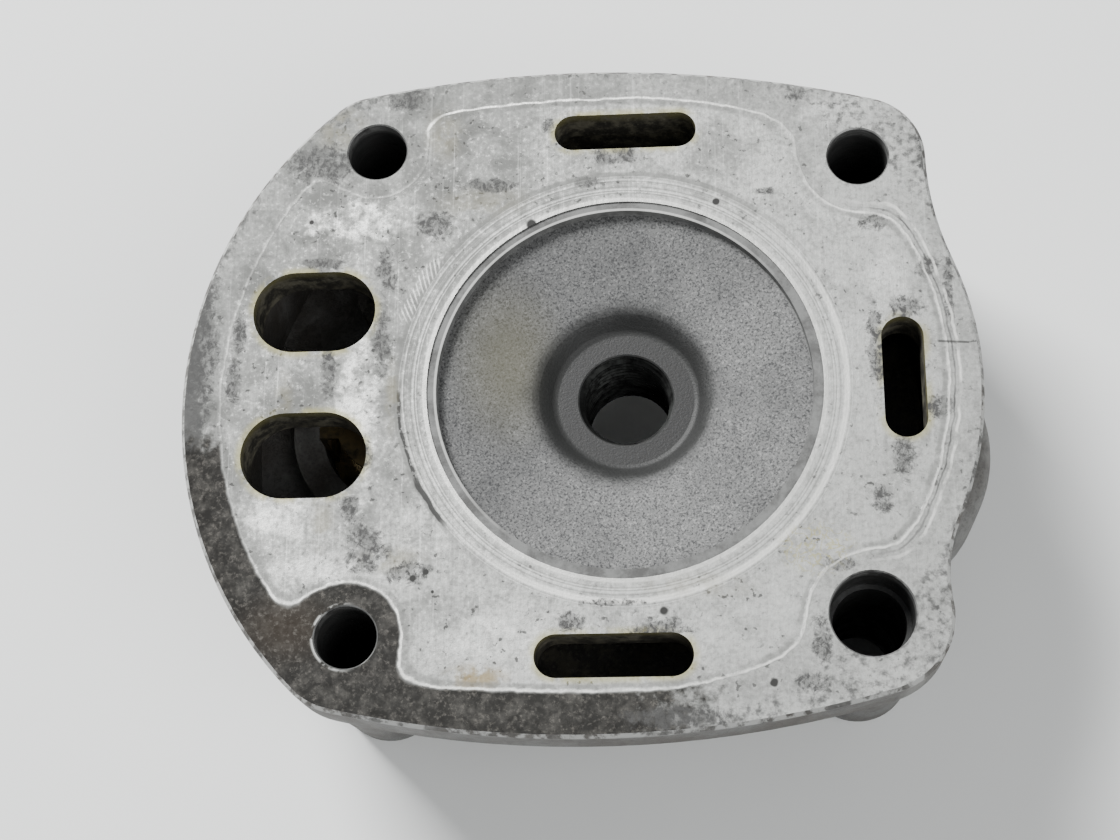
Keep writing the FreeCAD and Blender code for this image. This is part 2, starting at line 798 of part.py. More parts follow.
def thermostat_cover():
    """Cap over the thermostat, with two screw ears and a hose spigot along -X."""
    top = -S.jacket_depth
    dome = cylinder("cover_dome", S.cover_dome_radius, cover_height(),
                    S.stat_x, 0, top - cover_height())
    low_edge = circle_of(S.cover_dome_radius.value, (top - cover_height()).value)
    solids = [round_off("cover_dome_round", dome, low_edge, S.cover_round)]
    low = top - S.cover_flange_thickness
    plate = [
        cylinder("cover_flange", S.cover_flange_radius, S.cover_flange_thickness,
                 S.stat_x, 0, low),
        box("cover_bar", S.cover_ear_radius * 2, S.cover_screw_offset * 2,
            S.cover_flange_thickness, S.stat_x - S.cover_ear_radius,
            -S.cover_screw_offset, low),
    ]
    for sign, side in ((1, "upper"), (-1, "lower")):
        plate.append(cylinder(f"cover_ear_{side}", S.cover_ear_radius,
                              S.cover_flange_thickness, S.stat_x,
                              S.cover_screw_offset * sign, low))
    solids.append(round_off("cover_plate_round", fuse("cover_plate", plate),
                            edge_at_height(low.value), S.cover_edge_round))
    axis = top - spigot_drop()
    solids.append(cylinder("spigot", S.spigot_radius, S.spigot_length, S.stat_x, 0, axis,
                           ALONG_MINUS_X))
    bead = doc.addObject("Part::Torus", "spigot_bead")
    bind(bead, "Radius1", S.spigot_radius - S.spigot_bead / 2)
    bind(bead, "Radius2", S.spigot_bead)
    solids.append(bind_place(bead, S.stat_x - S.spigot_length + S.spigot_bead * 3, 0, axis,
                             ALONG_MINUS_X))
    holes = [
        cylinder("cover_hollow", S.cover_dome_radius - S.cover_wall,
                 cover_height() - S.cover_wall + OVERLAP, S.stat_x, 0,
                 top - cover_height() + S.cover_wall),
        cylinder("spigot_bore", S.spigot_bore_radius, S.spigot_length + OVERLAP,
                 S.stat_x, 0, axis, ALONG_MINUS_X),
    ]
    for sign, side in ((1, "upper"), (-1, "lower")):
        holes.append(cylinder(f"cover_hole_{side}", S.screw_radius + S.screw_clearance,
                              S.cover_flange_thickness + OVERLAP * 2, S.stat_x,
                              S.cover_screw_offset * sign, low - OVERLAP))
    return cut("thermostat_cover", fuse("cover_solid", solids), fuse("cover_cuts", holes))


def cover_washers():
    """Both washers, as separate solids of one node."""
    low = -S.jacket_depth - S.cover_flange_thickness - S.washer_thickness
    discs = []
    holes = []
    for sign, side in ((1, "upper"), (-1, "lower")):
        y = S.cover_screw_offset * sign
        discs.append(cylinder(f"washer_{side}", S.washer_radius, S.washer_thickness,
                              S.stat_x, y, low))
        holes.append(cylinder(f"washer_hole_{side}", S.screw_radius + S.screw_clearance,
                              S.washer_thickness + OVERLAP * 2, S.stat_x, y, low - OVERLAP))
    return cut("cover_washers", fuse("washer_discs", discs), fuse("washer_holes", holes))


def cover_screws():
    """Two M6 socket screws, heads downwards."""
    seat = -S.jacket_depth - S.cover_flange_thickness - S.washer_thickness
    solids = []
    keys = []
    for sign, side in ((1, "upper"), (-1, "lower")):
        y = S.cover_screw_offset * sign
        solids.append(cylinder(f"screw_head_{side}", S.screw_head_radius, S.screw_head_height,
                               S.stat_x, y, seat - S.screw_head_height))
        solids.append(cylinder(f"screw_shank_{side}", S.screw_radius - S.thread_clearance,
                               S.screw_length, S.stat_x, y, seat))
        key = doc.addObject("Part::Prism", f"screw_key_{side}")
        key.Polygon = 6
        bind(key, "Circumradius", S.screw_key / math.sqrt(3))
        bind(key, "Height", S.screw_key_depth + OVERLAP)
        keys.append(bind_place(key, S.stat_x, y, seat - S.screw_head_height - OVERLAP))
    return cut("cover_screws", fuse("screw_solids", solids), fuse("screw_keys", keys))


# ---------------------------------------------------------------- thermostat
# Heights in this section are along the thermostat's axis. The flange plate sits in the seal's
# groove, the element is on the jacket's side above it and the bridge is on the cover's side.

def at_thermostat(body):
    return bind_place(body, S.stat_x)


def plate_low():
    return -S.jacket_depth + (S.seal_thickness - S.stat_plate_thickness) / 2


def plate_high():
    return plate_low() + S.stat_plate_thickness


def plate_radius():
    return S.seal_inner_radius + S.seal_groove_depth


def thermostat_seal():
    body = new_body("thermostat_seal")
    low = -S.jacket_depth
    high = low + S.seal_thickness
    groove = S.seal_inner_radius + S.seal_groove_depth
    revolve(body, "seal", [
        (S.seal_inner_radius, low),
        (S.seal_radius, low),
        (S.seal_radius, high),
        (S.seal_inner_radius, high),
        (S.seal_inner_radius, plate_high()),
        (groove, plate_high()),
        (groove, plate_low()),
        (S.seal_inner_radius, plate_low()),
    ])
    return at_thermostat(body)


def thermostat_flange():
    """Plate with the valve seat, the vent hole and the bridge that carries the piston."""
    body = new_body("thermostat_flange")
    revolve(body, "flange_plate", [
        (S.seat_radius, plate_low()),
        (plate_radius(), plate_low()),
        (plate_radius(), plate_high()),
        (S.seat_radius, plate_high()),
    ])
    arch = new_sketch(body, "bridge_outline", "YZ_Plane")
    low = plate_low() - S.bridge_height
    thick = S.stat_plate_thickness
    foot = plate_low() + S.stat_plate_thickness / 2
    inner_low = low + thick * 2
    draw_polygon(arch, [
        (S.bridge_foot_radius, foot),
        (S.bridge_top_half, low),
        (-S.bridge_top_half, low),
        (-S.bridge_foot_radius, foot),
        (-S.bridge_foot_radius + thick * 1.4, foot),
        (-S.bridge_top_half + thick / 2, inner_low),
        (S.bridge_top_half - thick / 2, inner_low),
        (S.bridge_foot_radius - thick * 1.4, foot),
    ])
    pad(body, arch, S.bridge_width, midplane=True)
    holder = new_sketch(body, "piston_socket", "XY_Plane", low)
    draw_circle(holder, 0, 0, S.piston_radius + S.piston_clearance)
    pocket(body, holder, thick * 3, upward=True)
    vent = new_sketch(body, "vent_hole", "XY_Plane", plate_low())
    offset = S.jiggle_offset / math.sqrt(2)
    draw_circle(vent, offset, offset, S.jiggle_hole_radius)
    pocket(body, vent, S.stat_plate_thickness, upward=True)
    return at_thermostat(body)


def cage_top():
    return plate_high() + S.cage_height


def thermostat_cage():
    """Lower frame: two legs from the plate and the disc that the spring pushes against."""
    body = new_body("thermostat_cage")
    thick = S.stat_plate_thickness
    high = cage_top()
    arch = new_sketch(body, "cage_outline", "XZ_Plane")
    draw_polygon(arch, [
        (S.cage_leg_radius, plate_high()),
        (S.cage_leg_radius, high),
        (-S.cage_leg_radius, high),
        (-S.cage_leg_radius, plate_high()),
        (-S.cage_leg_radius + thick, plate_high()),
        (-S.cage_leg_radius + thick, high - thick),
        (S.cage_leg_radius - thick, high - thick),
        (S.cage_leg_radius - thick, plate_high()),
    ])
    pad(body, arch, S.cage_width, midplane=True)
    disc = new_sketch(body, "cage_disc", "XY_Plane", high)
    draw_circle(disc, 0, 0, S.cage_plate_radius)
    pad(body, disc, thick, upward=False)
    hole = new_sketch(body, "cage_hole", "XY_Plane", high)
    draw_circle(hole, 0, 0, S.cage_hole_radius)
    pocket(body, hole, thick, upward=False)
    return at_thermostat(body)


def valve_low():
    return plate_high() + S.valve_gap


def capsule_low():
    return valve_low() - S.guide_flange_thickness


def thermostat_valve():
    return at_thermostat(ring("thermostat_valve", S.capsule_radius, S.valve_radius,
                              valve_low(), valve_low() + S.valve_thickness))


def thermostat_capsule():
    """Cup of the element, closed at its upper end and open towards the guide."""
    body = new_body("thermostat_capsule")
    low = capsule_low()
    high = low + S.capsule_length
    inner = S.capsule_radius - S.capsule_wall
    revolve(body, "capsule", [
        (inner, low),
        (S.capsule_radius, low),
        (S.capsule_radius, high),
        (0, high),
        (0, high - S.capsule_wall),
        (inner, high - S.capsule_wall),
    ])
    return at_thermostat(body)


def guide_top():
    return capsule_low() + S.guide_flange_thickness


def thermostat_guide():
    """Guide crimped into the cup's mouth, with the neck that the piston slides in."""
    body = new_body("thermostat_guide")
    low = capsule_low() - S.guide_length
    bore = S.piston_radius + S.piston_clearance
    revolve(body, "guide", [
        (bore, low),
        (S.guide_radius, low),
        (S.guide_radius, capsule_low()),
        (S.capsule_radius - S.capsule_wall, capsule_low()),
        (S.capsule_radius - S.capsule_wall, guide_top()),
        (bore, guide_top()),
    ])
    return at_thermostat(body)


def thermostat_sleeve():
    """Rubber sleeve over the end of the piston, inside the wax."""
    body = new_body("thermostat_sleeve")
    bore = S.piston_radius + S.piston_clearance
    high = guide_top() + S.piston_depth + S.sleeve_wall
    revolve(body, "sleeve", [
        (bore, guide_top()),
        (bore + S.sleeve_wall, guide_top()),
        (bore + S.sleeve_wall, high),
        (0, high),
        (0, high - S.sleeve_wall),
        (bore, high - S.sleeve_wall),
    ])
    return at_thermostat(body)


def thermostat_wax():
    """Wax charge that fills the cup round the sleeve."""
    body = new_body("thermostat_wax")
    inner = S.piston_radius + S.piston_clearance + S.sleeve_wall
    outer = S.capsule_radius - S.capsule_wall
    sleeve_top = guide_top() + S.piston_depth + S.sleeve_wall
    high = capsule_low() + S.capsule_length - S.capsule_wall
    revolve(body, "wax", [
        (inner, guide_top()),
        (outer, guide_top()),
        (outer, high),
        (0, high),
        (0, sleeve_top),
        (inner, sleeve_top),
    ])
    return at_thermostat(body)


def thermostat_piston():
    """Steel rod from the bridge into the sleeve."""
    low = plate_low() - S.bridge_height
    high = guide_top() + S.piston_depth - S.piston_clearance
    body = new_body("thermostat_piston")
    revolve(body, "piston", [(0, low), (S.piston_radius, low), (S.piston_radius, high), (0, high)])
    return at_thermostat(body)


def thermostat_spring():
    """Coil spring between the valve disc and the cage, with its ends wound to their seats."""
    body = new_body("thermostat_spring")
    low = valve_low() + S.valve_thickness + S.spring_wire_radius
    height = cage_top() - S.stat_plate_thickness - S.spring_wire_radius - low
    section = new_sketch(body, "spring_wire", "XZ_Plane")
    draw_circle(section, S.spring_radius, low, S.spring_wire_radius)
    coil = body.newObject("PartDesign::AdditiveHelix", "spring_coil")
    coil.Profile = section
    coil.ReferenceAxis = (section, ["V_Axis"])
    coil.Mode = "height-turns-angle"
    bind(coil, "Height", height)
    bind(coil, "Turns", S.spring_turns)
    return at_thermostat(body)


def jiggle_pin():
    """Double-headed pin, loose in the plate's vent hole, resting on its upper head."""
    body = new_body("jiggle_pin")
    seat = plate_high() + S.valve_gap
    low = seat - S.stat_plate_thickness - S.valve_gap - S.jiggle_travel - S.valve_gap
    revolve(body, "jiggle", [
        (0, low - S.jiggle_head_thickness),
        (S.jiggle_head_radius, low - S.jiggle_head_thickness),
        (S.jiggle_head_radius, low),
        (S.jiggle_shank_radius, low),
        (S.jiggle_shank_radius, seat),
        (S.jiggle_head_radius, seat),
        (S.jiggle_head_radius, seat + S.jiggle_head_thickness),
        (0, seat + S.jiggle_head_thickness),
    ])
    offset = S.jiggle_offset / math.sqrt(2)
    return bind_place(body, S.stat_x + offset, offset)


# ---------------------------------------------------------------- temperature sender
# Heights in this section are along +Y from the spot face on the side of the jacket.

def at_sender(body):
    return bind_place(body, S.sender_x, S.sender_face_y, -S.sender_drop, ALONG_Y)


def sender_washer():
    return at_sender(ring("sender_washer", S.sender_radius + S.screw_clearance,
                          S.sender_seal_radius, as_size(0), S.sender_seal_thickness))


def sender_top():
    return S.sender_seal_thickness + S.sender_key_height + S.sender_collar_height


def sender_tip():
    return -S.sender_boss_length - S.sender_bulb_length


def sender_body():
    """Hollow brass body: bulb, threaded shank, hexagon and collar."""
    body = new_body("sender_body")
    seat = S.sender_seal_thickness
    shank = S.sender_radius - S.thread_clearance
    revolve(body, "sender", [
        (0, sender_tip()),
        (S.sender_bulb_radius, sender_tip()),
        (S.sender_bulb_radius, -S.sender_boss_length),
        (shank, -S.sender_boss_length + OVERLAP),
        (shank, seat),
        (S.sender_collar_radius, seat),
        (S.sender_collar_radius, sender_top()),
        (S.sender_bore_radius, sender_top()),
        (S.sender_bore_radius, sender_tip() + S.sender_tip_wall),
        (0, sender_tip() + S.sender_tip_wall),
    ])
    key = new_sketch(body, "sender_hexagon", "XY_Plane", seat)
    draw_polygon(key, hexagon(S.sender_key))
    draw_circle(key, 0, 0, S.sender_bore_radius)
    pad(body, key, S.sender_key_height)
    return at_sender(body)


def sender_thermistor():
    low = sender_tip() + S.sender_tip_wall
    body = new_body("sender_thermistor")
    radius = S.sender_bore_radius - S.thread_clearance
    high = low + S.thermistor_length
    revolve(body, "thermistor", [(0, low), (radius, low), (radius, high), (0, high)])
    return at_sender(body)


def sender_insulator():
    """Moulding that fills the bore round the lead and stands up as a collar."""
    body = new_body("sender_insulator")
    low = sender_tip() + S.sender_tip_wall + S.thermistor_length
    radius = S.sender_bore_radius - S.thread_clearance
    high = sender_top() + S.insulator_height
    lead = S.lead_radius
    revolve(body, "insulator", [
        (lead, low),
        (radius, low),
        (radius, sender_top()),
        (S.insulator_radius, sender_top()),
        (S.insulator_radius, high),
        (lead, high),
    ])
    return at_sender(body)


def sender_terminal():
    """Spade terminal on the lead that reaches the thermistor."""
    body = new_body("sender_terminal")
    low = sender_tip() + S.sender_tip_wall + S.thermistor_length
    high = sender_top() + S.insulator_height
    revolve(body, "lead", [(0, low), (S.lead_radius, low), (S.lead_radius, high), (0, high)])
    spade = new_sketch(body, "spade_outline", "XY_Plane", high)
    half_width = S.spade_width / 2
    half_thick = S.spade_thickness / 2
    draw_polygon(spade, [
        (half_width, half_thick),
        (-half_width, half_thick),
        (-half_width, -half_thick),
        (half_width, -half_thick),
    ])
    pad(body, spade, S.spade_length)
    return at_sender(body)


# ---------------------------------------------------------------- air bleed

def bleed_seat():
    return -S.jacket_depth - S.bleed_boss_height


def bleed_washer():
    washer = ring("bleed_washer", S.screw_radius + S.screw_clearance, S.washer_radius,
                  bleed_seat() - S.bleed_washer_thickness, bleed_seat())
    return bind_place(washer, S.bleed_x, S.bleed_y)


def bleed_screw():
    body = new_body("bleed_screw")
    under_head = bleed_seat() - S.bleed_washer_thickness
    radius = S.screw_radius - S.thread_clearance
    high = under_head + S.bleed_length
    revolve(body, "bleed", [
        (0, under_head - OVERLAP),
        (radius, under_head - OVERLAP),
        (radius, high - OVERLAP),
        (radius - OVERLAP, high),
        (0, high),
    ])
    head = new_sketch(body, "bleed_hexagon", "XY_Plane", under_head)
    draw_polygon(head, hexagon(S.bleed_key))
    pad(body, head, S.bleed_head_height, upward=False)
    return bind_place(body, S.bleed_x, S.bleed_y)


# ---------------------------------------------------------------- build, check and write

BUILDERS = (
    head_casting,
    thermostat_cover,
    cover_screws,
    cover_washers,
    thermostat_seal,
    thermostat_flange,
    thermostat_cage,
    thermostat_spring,
    thermostat_valve,
    thermostat_capsule,
    thermostat_guide,
    thermostat_wax,
    thermostat_sleeve,
    thermostat_piston,
    jiggle_pin,
    sender_body,
    sender_washer,
    sender_thermistor,
    sender_insulator,
    sender_terminal,
    bleed_screw,
    bleed_washer,
)

subparts = {}
for build in BUILDERS:
    subparts[build.__name__] = build()
doc.recompute()

for item in doc.Objects:
    if {"Invalid", "Error"} & set(item.State):
        raise SystemExit(f"{item.Name} did not build: {item.State}")
for name, item in subparts.items():
    item.Label = name
    shape = item.Shape
    if shape.isNull() or not shape.isValid() or not shape.Solids:
        raise SystemExit(f"{name} has no valid solid")

os.makedirs("parts", exist_ok=True)
for name, item in subparts.items():
    item.Shape.exportStep(f"parts/{name}.step")
    print(f"{name:22s} {len(item.Shape.Solids)} solid(s) {item.Shape.Volume:10.2f} mm3")
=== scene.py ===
import json
import math

import bmesh
import bpy
from mathutils import Matrix, Vector


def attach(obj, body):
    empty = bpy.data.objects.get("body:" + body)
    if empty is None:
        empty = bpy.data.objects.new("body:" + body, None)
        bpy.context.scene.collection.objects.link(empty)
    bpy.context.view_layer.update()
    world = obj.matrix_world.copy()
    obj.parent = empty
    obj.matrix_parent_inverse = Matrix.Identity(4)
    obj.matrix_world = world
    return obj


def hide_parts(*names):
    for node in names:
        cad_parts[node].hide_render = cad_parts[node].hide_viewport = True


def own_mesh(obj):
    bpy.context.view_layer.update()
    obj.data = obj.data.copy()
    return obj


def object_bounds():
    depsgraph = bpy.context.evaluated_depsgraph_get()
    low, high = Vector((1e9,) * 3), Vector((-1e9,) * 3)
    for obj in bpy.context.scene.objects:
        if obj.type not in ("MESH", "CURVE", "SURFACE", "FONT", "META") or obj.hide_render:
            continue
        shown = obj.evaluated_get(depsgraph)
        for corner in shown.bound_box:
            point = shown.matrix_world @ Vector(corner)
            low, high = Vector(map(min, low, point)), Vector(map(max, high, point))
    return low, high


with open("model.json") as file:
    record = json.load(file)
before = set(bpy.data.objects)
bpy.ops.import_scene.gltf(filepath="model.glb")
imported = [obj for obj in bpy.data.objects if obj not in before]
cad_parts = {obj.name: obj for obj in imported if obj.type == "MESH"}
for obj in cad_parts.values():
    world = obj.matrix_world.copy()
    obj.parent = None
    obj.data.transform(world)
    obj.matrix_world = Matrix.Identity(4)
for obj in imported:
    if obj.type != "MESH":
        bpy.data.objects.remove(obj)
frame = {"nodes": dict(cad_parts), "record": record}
cad_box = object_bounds()

# The cylinder head lies gasket face up. All lengths in this script are in millimetres in the
# row's frame (origin on the bore axis in the plane of the face) until MM turns them into metres.
MM = 0.001
PARTS = frame["nodes"]
FLOOR_Z = cad_box[0].z / MM

# What the casting's surfaces are told apart by: its stud holes, its bored surfaces, its ports
# and its water jacket.
MOUNTS = {row["name"]: row for row in frame["record"]["mounts"]}
STUDS = {corner: [v / MM for v in MOUNTS[f"stud_hole_{corner}"]["pos_m"][:2]]
         for corner in ("tl", "tr", "bl", "br")}
HOLE = {corner: MOUNTS[f"stud_hole_{corner}"]["dims"]["r_mm"] for corner in STUDS}
HOLE["br"] = MOUNTS["dowel_bore"]["dims"]["r_mm"]
CHAMBER = MOUNTS["chamber_rim"]["dims"]["r_mm"]
PLUG = MOUNTS["plug_thread"]["dims"]["r_mm"]
RIM = CHAMBER + 1.4
POCKET = 13.2
POCKET_FLOOR = -7.2
LAND_EDGE = 10.6  # of the flat round the plug hole
SEAT_EDGE = 11.5
PORTS = {  # centre x, centre y, size along x, size along y
    "left_upper": (-46.0, 12.7, 18.4, 12.6),
    "left_lower": (-46.8, -9.6, 18.6, 13.0),
    "top": (0.6, 40.5, 21.4, 5.7),
    "bottom": (-1.8, -39.8, 22.4, 6.2),
    "right": (40.4, 0.1, 6.1, 18.3),
}
# The head's outline, set in to the inner side of the water jacket: centre x, centre y, radius.
JACKET_SIDES = ((-4.3, 0.0, 54.7), (0.0, 0.0, 45.4), (-1.5, -119.1, 163.7), (-2.5, 108.7, 153.7))
JACKET_TOP = -7.0
JACKET_FLOOR = -24.1

# The ridge of the plug's thread, which the CAD leaves plain.
THREAD_PITCH = 1.25
THREAD_TOP = POCKET_FLOOR - 0.2
THREAD_LOW = -25.7
THREAD_ROOT = PLUG + 0.03
THREAD_CREST = PLUG - 0.62
THREAD_STEPS = 48  # a turn


# ------------------------------------------------------------------ shader node helpers

class Graph:
    """One material. Each method adds a node and gives its output, so formulas read as calls.

    Nodes are always added after the ones that feed them, because Cycles works through them in
    that order and a large material would otherwise need more memory than it allows.
    """

    def __init__(self, name):
        self.material = bpy.data.materials.new(name)
        self.material.use_nodes = True
        self.tree = self.material.node_tree
        self.tree.nodes.clear()
        self.surface = self.add("ShaderNodeBsdfPrincipled")
        output = self.add("ShaderNodeOutputMaterial")
        self.tree.links.new(self.surface.outputs[0], output.inputs[0])
        source = self.add("ShaderNodeTexCoord")
        scaled = self.add("ShaderNodeVectorMath", operation="SCALE")
        self.tree.links.new(source.outputs["Object"], scaled.inputs[0])
        scaled.inputs["Scale"].default_value = 1 / MM
        self.at = scaled.outputs[0]
        self.x, self.y, self.z = self.split(self.at)

    def add(self, kind, **settings):
        node = self.tree.nodes.new(kind)
        for key, value in settings.items():
            setattr(node, key, value)
        return node

    def put(self, socket, value):
        if isinstance(value, bpy.types.NodeSocket):
            self.tree.links.new(value, socket)
        elif isinstance(value, (tuple, list)) and len(value) == 3 and socket.type == "RGBA":
            socket.default_value = (*value, 1.0)
        else:
            socket.default_value = value

    def split(self, vector):
        node = self.add("ShaderNodeSeparateXYZ")
        self.put(node.inputs[0], vector)
        return tuple(node.outputs)

    def join(self, x, y, z=0.0):
        node = self.add("ShaderNodeCombineXYZ")
        for socket, value in zip(node.inputs, (x, y, z)):
            self.put(socket, value)
        return node.outputs[0]

    def math(self, operation, *values):
        node = self.add("ShaderNodeMath", operation=operation)
        for socket, value in zip(node.inputs, values):
            self.put(socket, value)
        return node.outputs[0]

    def plus(self, a, b):
        return self.math("ADD", a, b)

    def minus(self, a, b):
        return self.math("SUBTRACT", a, b)

    def times(self, a, b):
        return self.math("MULTIPLY", a, b)

    def either(self, *masks):
        result = masks[0]
        for mask in masks[1:]:
            result = self.math("MAXIMUM", result, mask)
        return result

    def both(self, *masks):
        result = masks[0]
        for mask in masks[1:]:
            result = self.times(result, mask)
        return result

    def ramp(self, value, start, end):
        """0 before start and 1 after end, or the other way round if start is the larger."""
        node = self.add("ShaderNodeMapRange", interpolation_type="SMOOTHSTEP")
        low, high = (0.0, 1.0) if start < end else (1.0, 0.0)
        settings = (value, min(start, end), max(start, end), low, high)
        for socket, setting in zip(node.inputs, settings):
            self.put(socket, setting)
        return node.outputs[0]

    def band(self, value, middle, half, soft):
        """1 where value is within half of middle."""
        away = self.math("ABSOLUTE", self.minus(value, middle))
        return self.ramp(away, half + soft, half)

    def noise(self, size, detail=3.0, rough=0.55, squeeze=(1, 1, 1), shift=0.0, warp=0.0):
        """Noise from 0 to 1 with blots about size millimetres across.

        The shift moves a pattern away from the others, unless they are meant to coincide.
        """
        place = self.add("ShaderNodeVectorMath", operation="MULTIPLY_ADD")
        self.put(place.inputs[0], self.at)
        self.put(place.inputs[1], squeeze)
        self.put(place.inputs[2], (shift, shift * 0.7, shift * 1.3))
        node = self.add("ShaderNodeTexNoise")
        self.put(node.inputs["Vector"], place.outputs[0])
        self.put(node.inputs["Scale"], 1.0 / size)
        self.put(node.inputs["Detail"], detail)
        self.put(node.inputs["Roughness"], rough)
        self.put(node.inputs["Distortion"], warp)
        return node.outputs[0]

    def mix(self, mask, first, second):
        node = self.add("ShaderNodeMix", data_type="RGBA")
        self.put(node.inputs[0], mask)
        self.put(node.inputs[6], first)
        self.put(node.inputs[7], second)
        return node.outputs[2]

    def blend(self, mask, first, second):
        node = self.add("ShaderNodeMix", data_type="FLOAT")
        self.put(node.inputs[0], mask)
        self.put(node.inputs[2], first)
        self.put(node.inputs[3], second)
        return node.outputs[0]

    def length(self, vector):
        node = self.add("ShaderNodeVectorMath", operation="LENGTH")
        self.put(node.inputs[0], vector)
        return node.outputs["Value"]

    def reach(self, cx, cy, x=None, grow=(1.0, 1.0)):
        """Distance in the face's plane from a point, with each axis divided by grow."""
        dx = self.minus(x or self.x, cx)
        dy = self.minus(self.y, cy)
        if grow != (1.0, 1.0):
            dx = self.math("DIVIDE", dx, grow[0])
            dy = self.math("DIVIDE", dy, grow[1])
        return self.length(self.join(dx, dy))

    def spot(self, place, start, end):
        """Soft blot, from its centre x, centre y, half width and half height."""
        cx, cy, half_x, half_y = place
        return self.ramp(self.reach(cx, cy, grow=(half_x, half_y)), start, end)

    def slot(self, cx, cy, size_x, size_y):
        """Signed distance from the edge of a slot with round ends."""
        radius = min(size_x, size_y) / 2
        ends = (size_x / 2 - radius, size_y / 2 - radius)
        sides = []
        for here, centre, end in ((self.x, cx, ends[0]), (self.y, cy, ends[1])):
            away = self.math("ABSOLUTE", self.minus(here, centre))
            sides.append(self.math("MAXIMUM", self.minus(away, end), 0.0))
        return self.minus(self.length(self.join(*sides)), radius)

    def bump(self, height, depth):
        """Bump whose height of 1 stands depth millimetres proud."""
        node = self.add("ShaderNodeBump")
        node.inputs["Distance"].default_value = depth * MM
        node.inputs["Strength"].default_value = 1.0
        self.put(node.inputs["Height"], height)
        return node.outputs[0]

    def finish(self, colour, metal, rough, normal=None, **constants):
        self.put(self.surface.inputs["Base Color"], colour)
        self.put(self.surface.inputs["Metallic"], metal)
        self.put(self.surface.inputs["Roughness"], rough)
        if normal is not None:
            self.put(self.surface.inputs["Normal"], normal)
        for name, value in constants.items():
            self.surface.inputs[name].default_value = value
        return self.material


# ------------------------------------------------------------------ the gasket face

FACE_LIGHT = (0.395, 0.40, 0.385)
FACE_WHITE = (0.56, 0.565, 0.545)
FACE_GREY = (0.120, 0.122, 0.116)
FACE_DARK = (0.030, 0.030, 0.029)
GRIME_GREY = (0.050, 0.050, 0.049)
IMPRINT_BRIGHT = (0.66, 0.66, 0.63)
ETCH_DARK = (0.008, 0.0075, 0.0065)
ETCH_LIGHT = (0.042, 0.040, 0.036)
ETCH_BROWN = (0.024, 0.016, 0.009)
ETCH_FLECK = (0.115, 0.108, 0.096)
OLIVE = (0.26, 0.24, 0.09)
RUST = (0.20, 0.15, 0.065)
STAIN = (0.17, 0.155, 0.095)

# The gasket's imprint: four long arcs, cut back by a circle round each stud.
# Centre x, centre y, radius; the line lies where the largest of the distances is nought.
IMPRINT_SIDES = ((-4.9, -0.5, 54.6), (-3.2, -119.6, 166.3), (-2.8, 108.5, 155.3))
IMPRINT_RIGHT = (0.0, 1.5, 47.4)
IMPRINT_STUDS = {"tl": 7.6, "tr": 8.75, "bl": 8.0, "br": 8.75}
IMPRINT_BLEND = 9.0

# Smears of soot and oxide: centre x, centre y, half width, half height, strength.
GRIME = (
    (-45.5, 36.6, 4.6, 3.2, 0.58),
    (-33.0, 47.0, 2.8, 1.5, 0.62),
    (-20.0, 32.3, 3.8, 1.0, 0.60),
    (-28.0, 26.0, 2.4, 2.2, 0.66),
    (-45.0, 20.3, 3.0, 0.9, 0.60),
    (-57.2, 9.5, 0.9, 3.0, 0.60),
    (-57.8, 1.8, 1.1, 3.4, 0.62),
    (-43.6, 3.4, 1.2, 3.6, 0.56),
    (-35.7, 7.5, 1.3, 5.0, 0.54),
    (-35.2, 19.0, 1.4, 3.6, 0.54),
    (-5.0, 32.3, 2.0, 0.8, 0.62),
    (-11.0, 41.8, 1.0, 1.2, 0.66),
    (-1.0, 36.7, 3.0, 1.4, 0.60),
    (26.8, 45.4, 1.8, 1.2, 0.56),
    (21.6, 29.8, 1.7, 0.6, 0.56),
    (37.2, 24.4, 2.4, 1.2, 0.56),
    (44.4, 17.0, 1.7, 1.5, 0.62),
    (47.4, 13.0, 0.8, 5.0, 0.58),
    (41.0, 10.8, 2.4, 1.6, 0.66),
    (36.6, 4.2, 1.2, 6.2, 0.68),
    (39.8, -11.8, 1.6, 3.2, 0.72),
    (45.0, -4.6, 1.8, 1.4, 0.68),
    (36.2, -18.4, 1.4, 1.9, 0.60),
    (30.2, -27.4, 2.2, 0.8, 0.60),
    (27.2, -37.8, 1.4, 3.0, 0.58),
    (25.5, -44.0, 2.4, 1.2, 0.56),
    (4.5, -36.1, 4.2, 1.3, 0.64),
    (-8.0, -35.2, 1.6, 1.7, 0.62),
    (-2.0, -32.3, 4.0, 0.5, 0.60),
    (8.0, -48.6, 7.0, 1.4, 0.66),
    (-37.2, -24.0, 3.0, 3.2, 0.56),
    (-31.0, -27.4, 3.4, 1.6, 0.54),
    (-39.8, -17.6, 1.2, 2.6, 0.56),
    (-37.6, -9.6, 0.9, 2.4, 0.54),
    (45.0, 36.0, 1.0, 5.0, 0.54),
    (-62.8, 8.0, 2.2, 12.0, 0.70),
)
# Small pits: centre x, centre y, radius.
PITS = ((-13.6, 25.7, 0.8), (-46.9, 27.2, 0.4), (-30.3, -28.3, 0.5), (-28.4, -27.4, 0.35),
        (5.3, -33.6, 0.7), (14.0, 28.4, 0.6), (20.3, -44.0, 0.6), (-27.4, -30.3, 0.35))
# Brownish stains: centre x, centre y, half width, half height, strength.
STAINS = (
    (-43.0, 42.6, 3.0, 2.6, 0.75),
    (-27.0, 41.0, 2.2, 3.4, 0.55),
    (-50.0, -1.0, 1.0, 3.0, 0.5),
    (-34.0, -1.0, 0.8, 4.0, 0.6),
    (-43.5, -20.0, 1.2, 3.0, 0.5),
    (-33.5, -25.5, 3.4, 1.4, 0.6),
    (-21.0, 29.5, 5.0, 2.0, 0.4),
    (10.0, -30.0, 6.0, 1.4, 0.35),
)
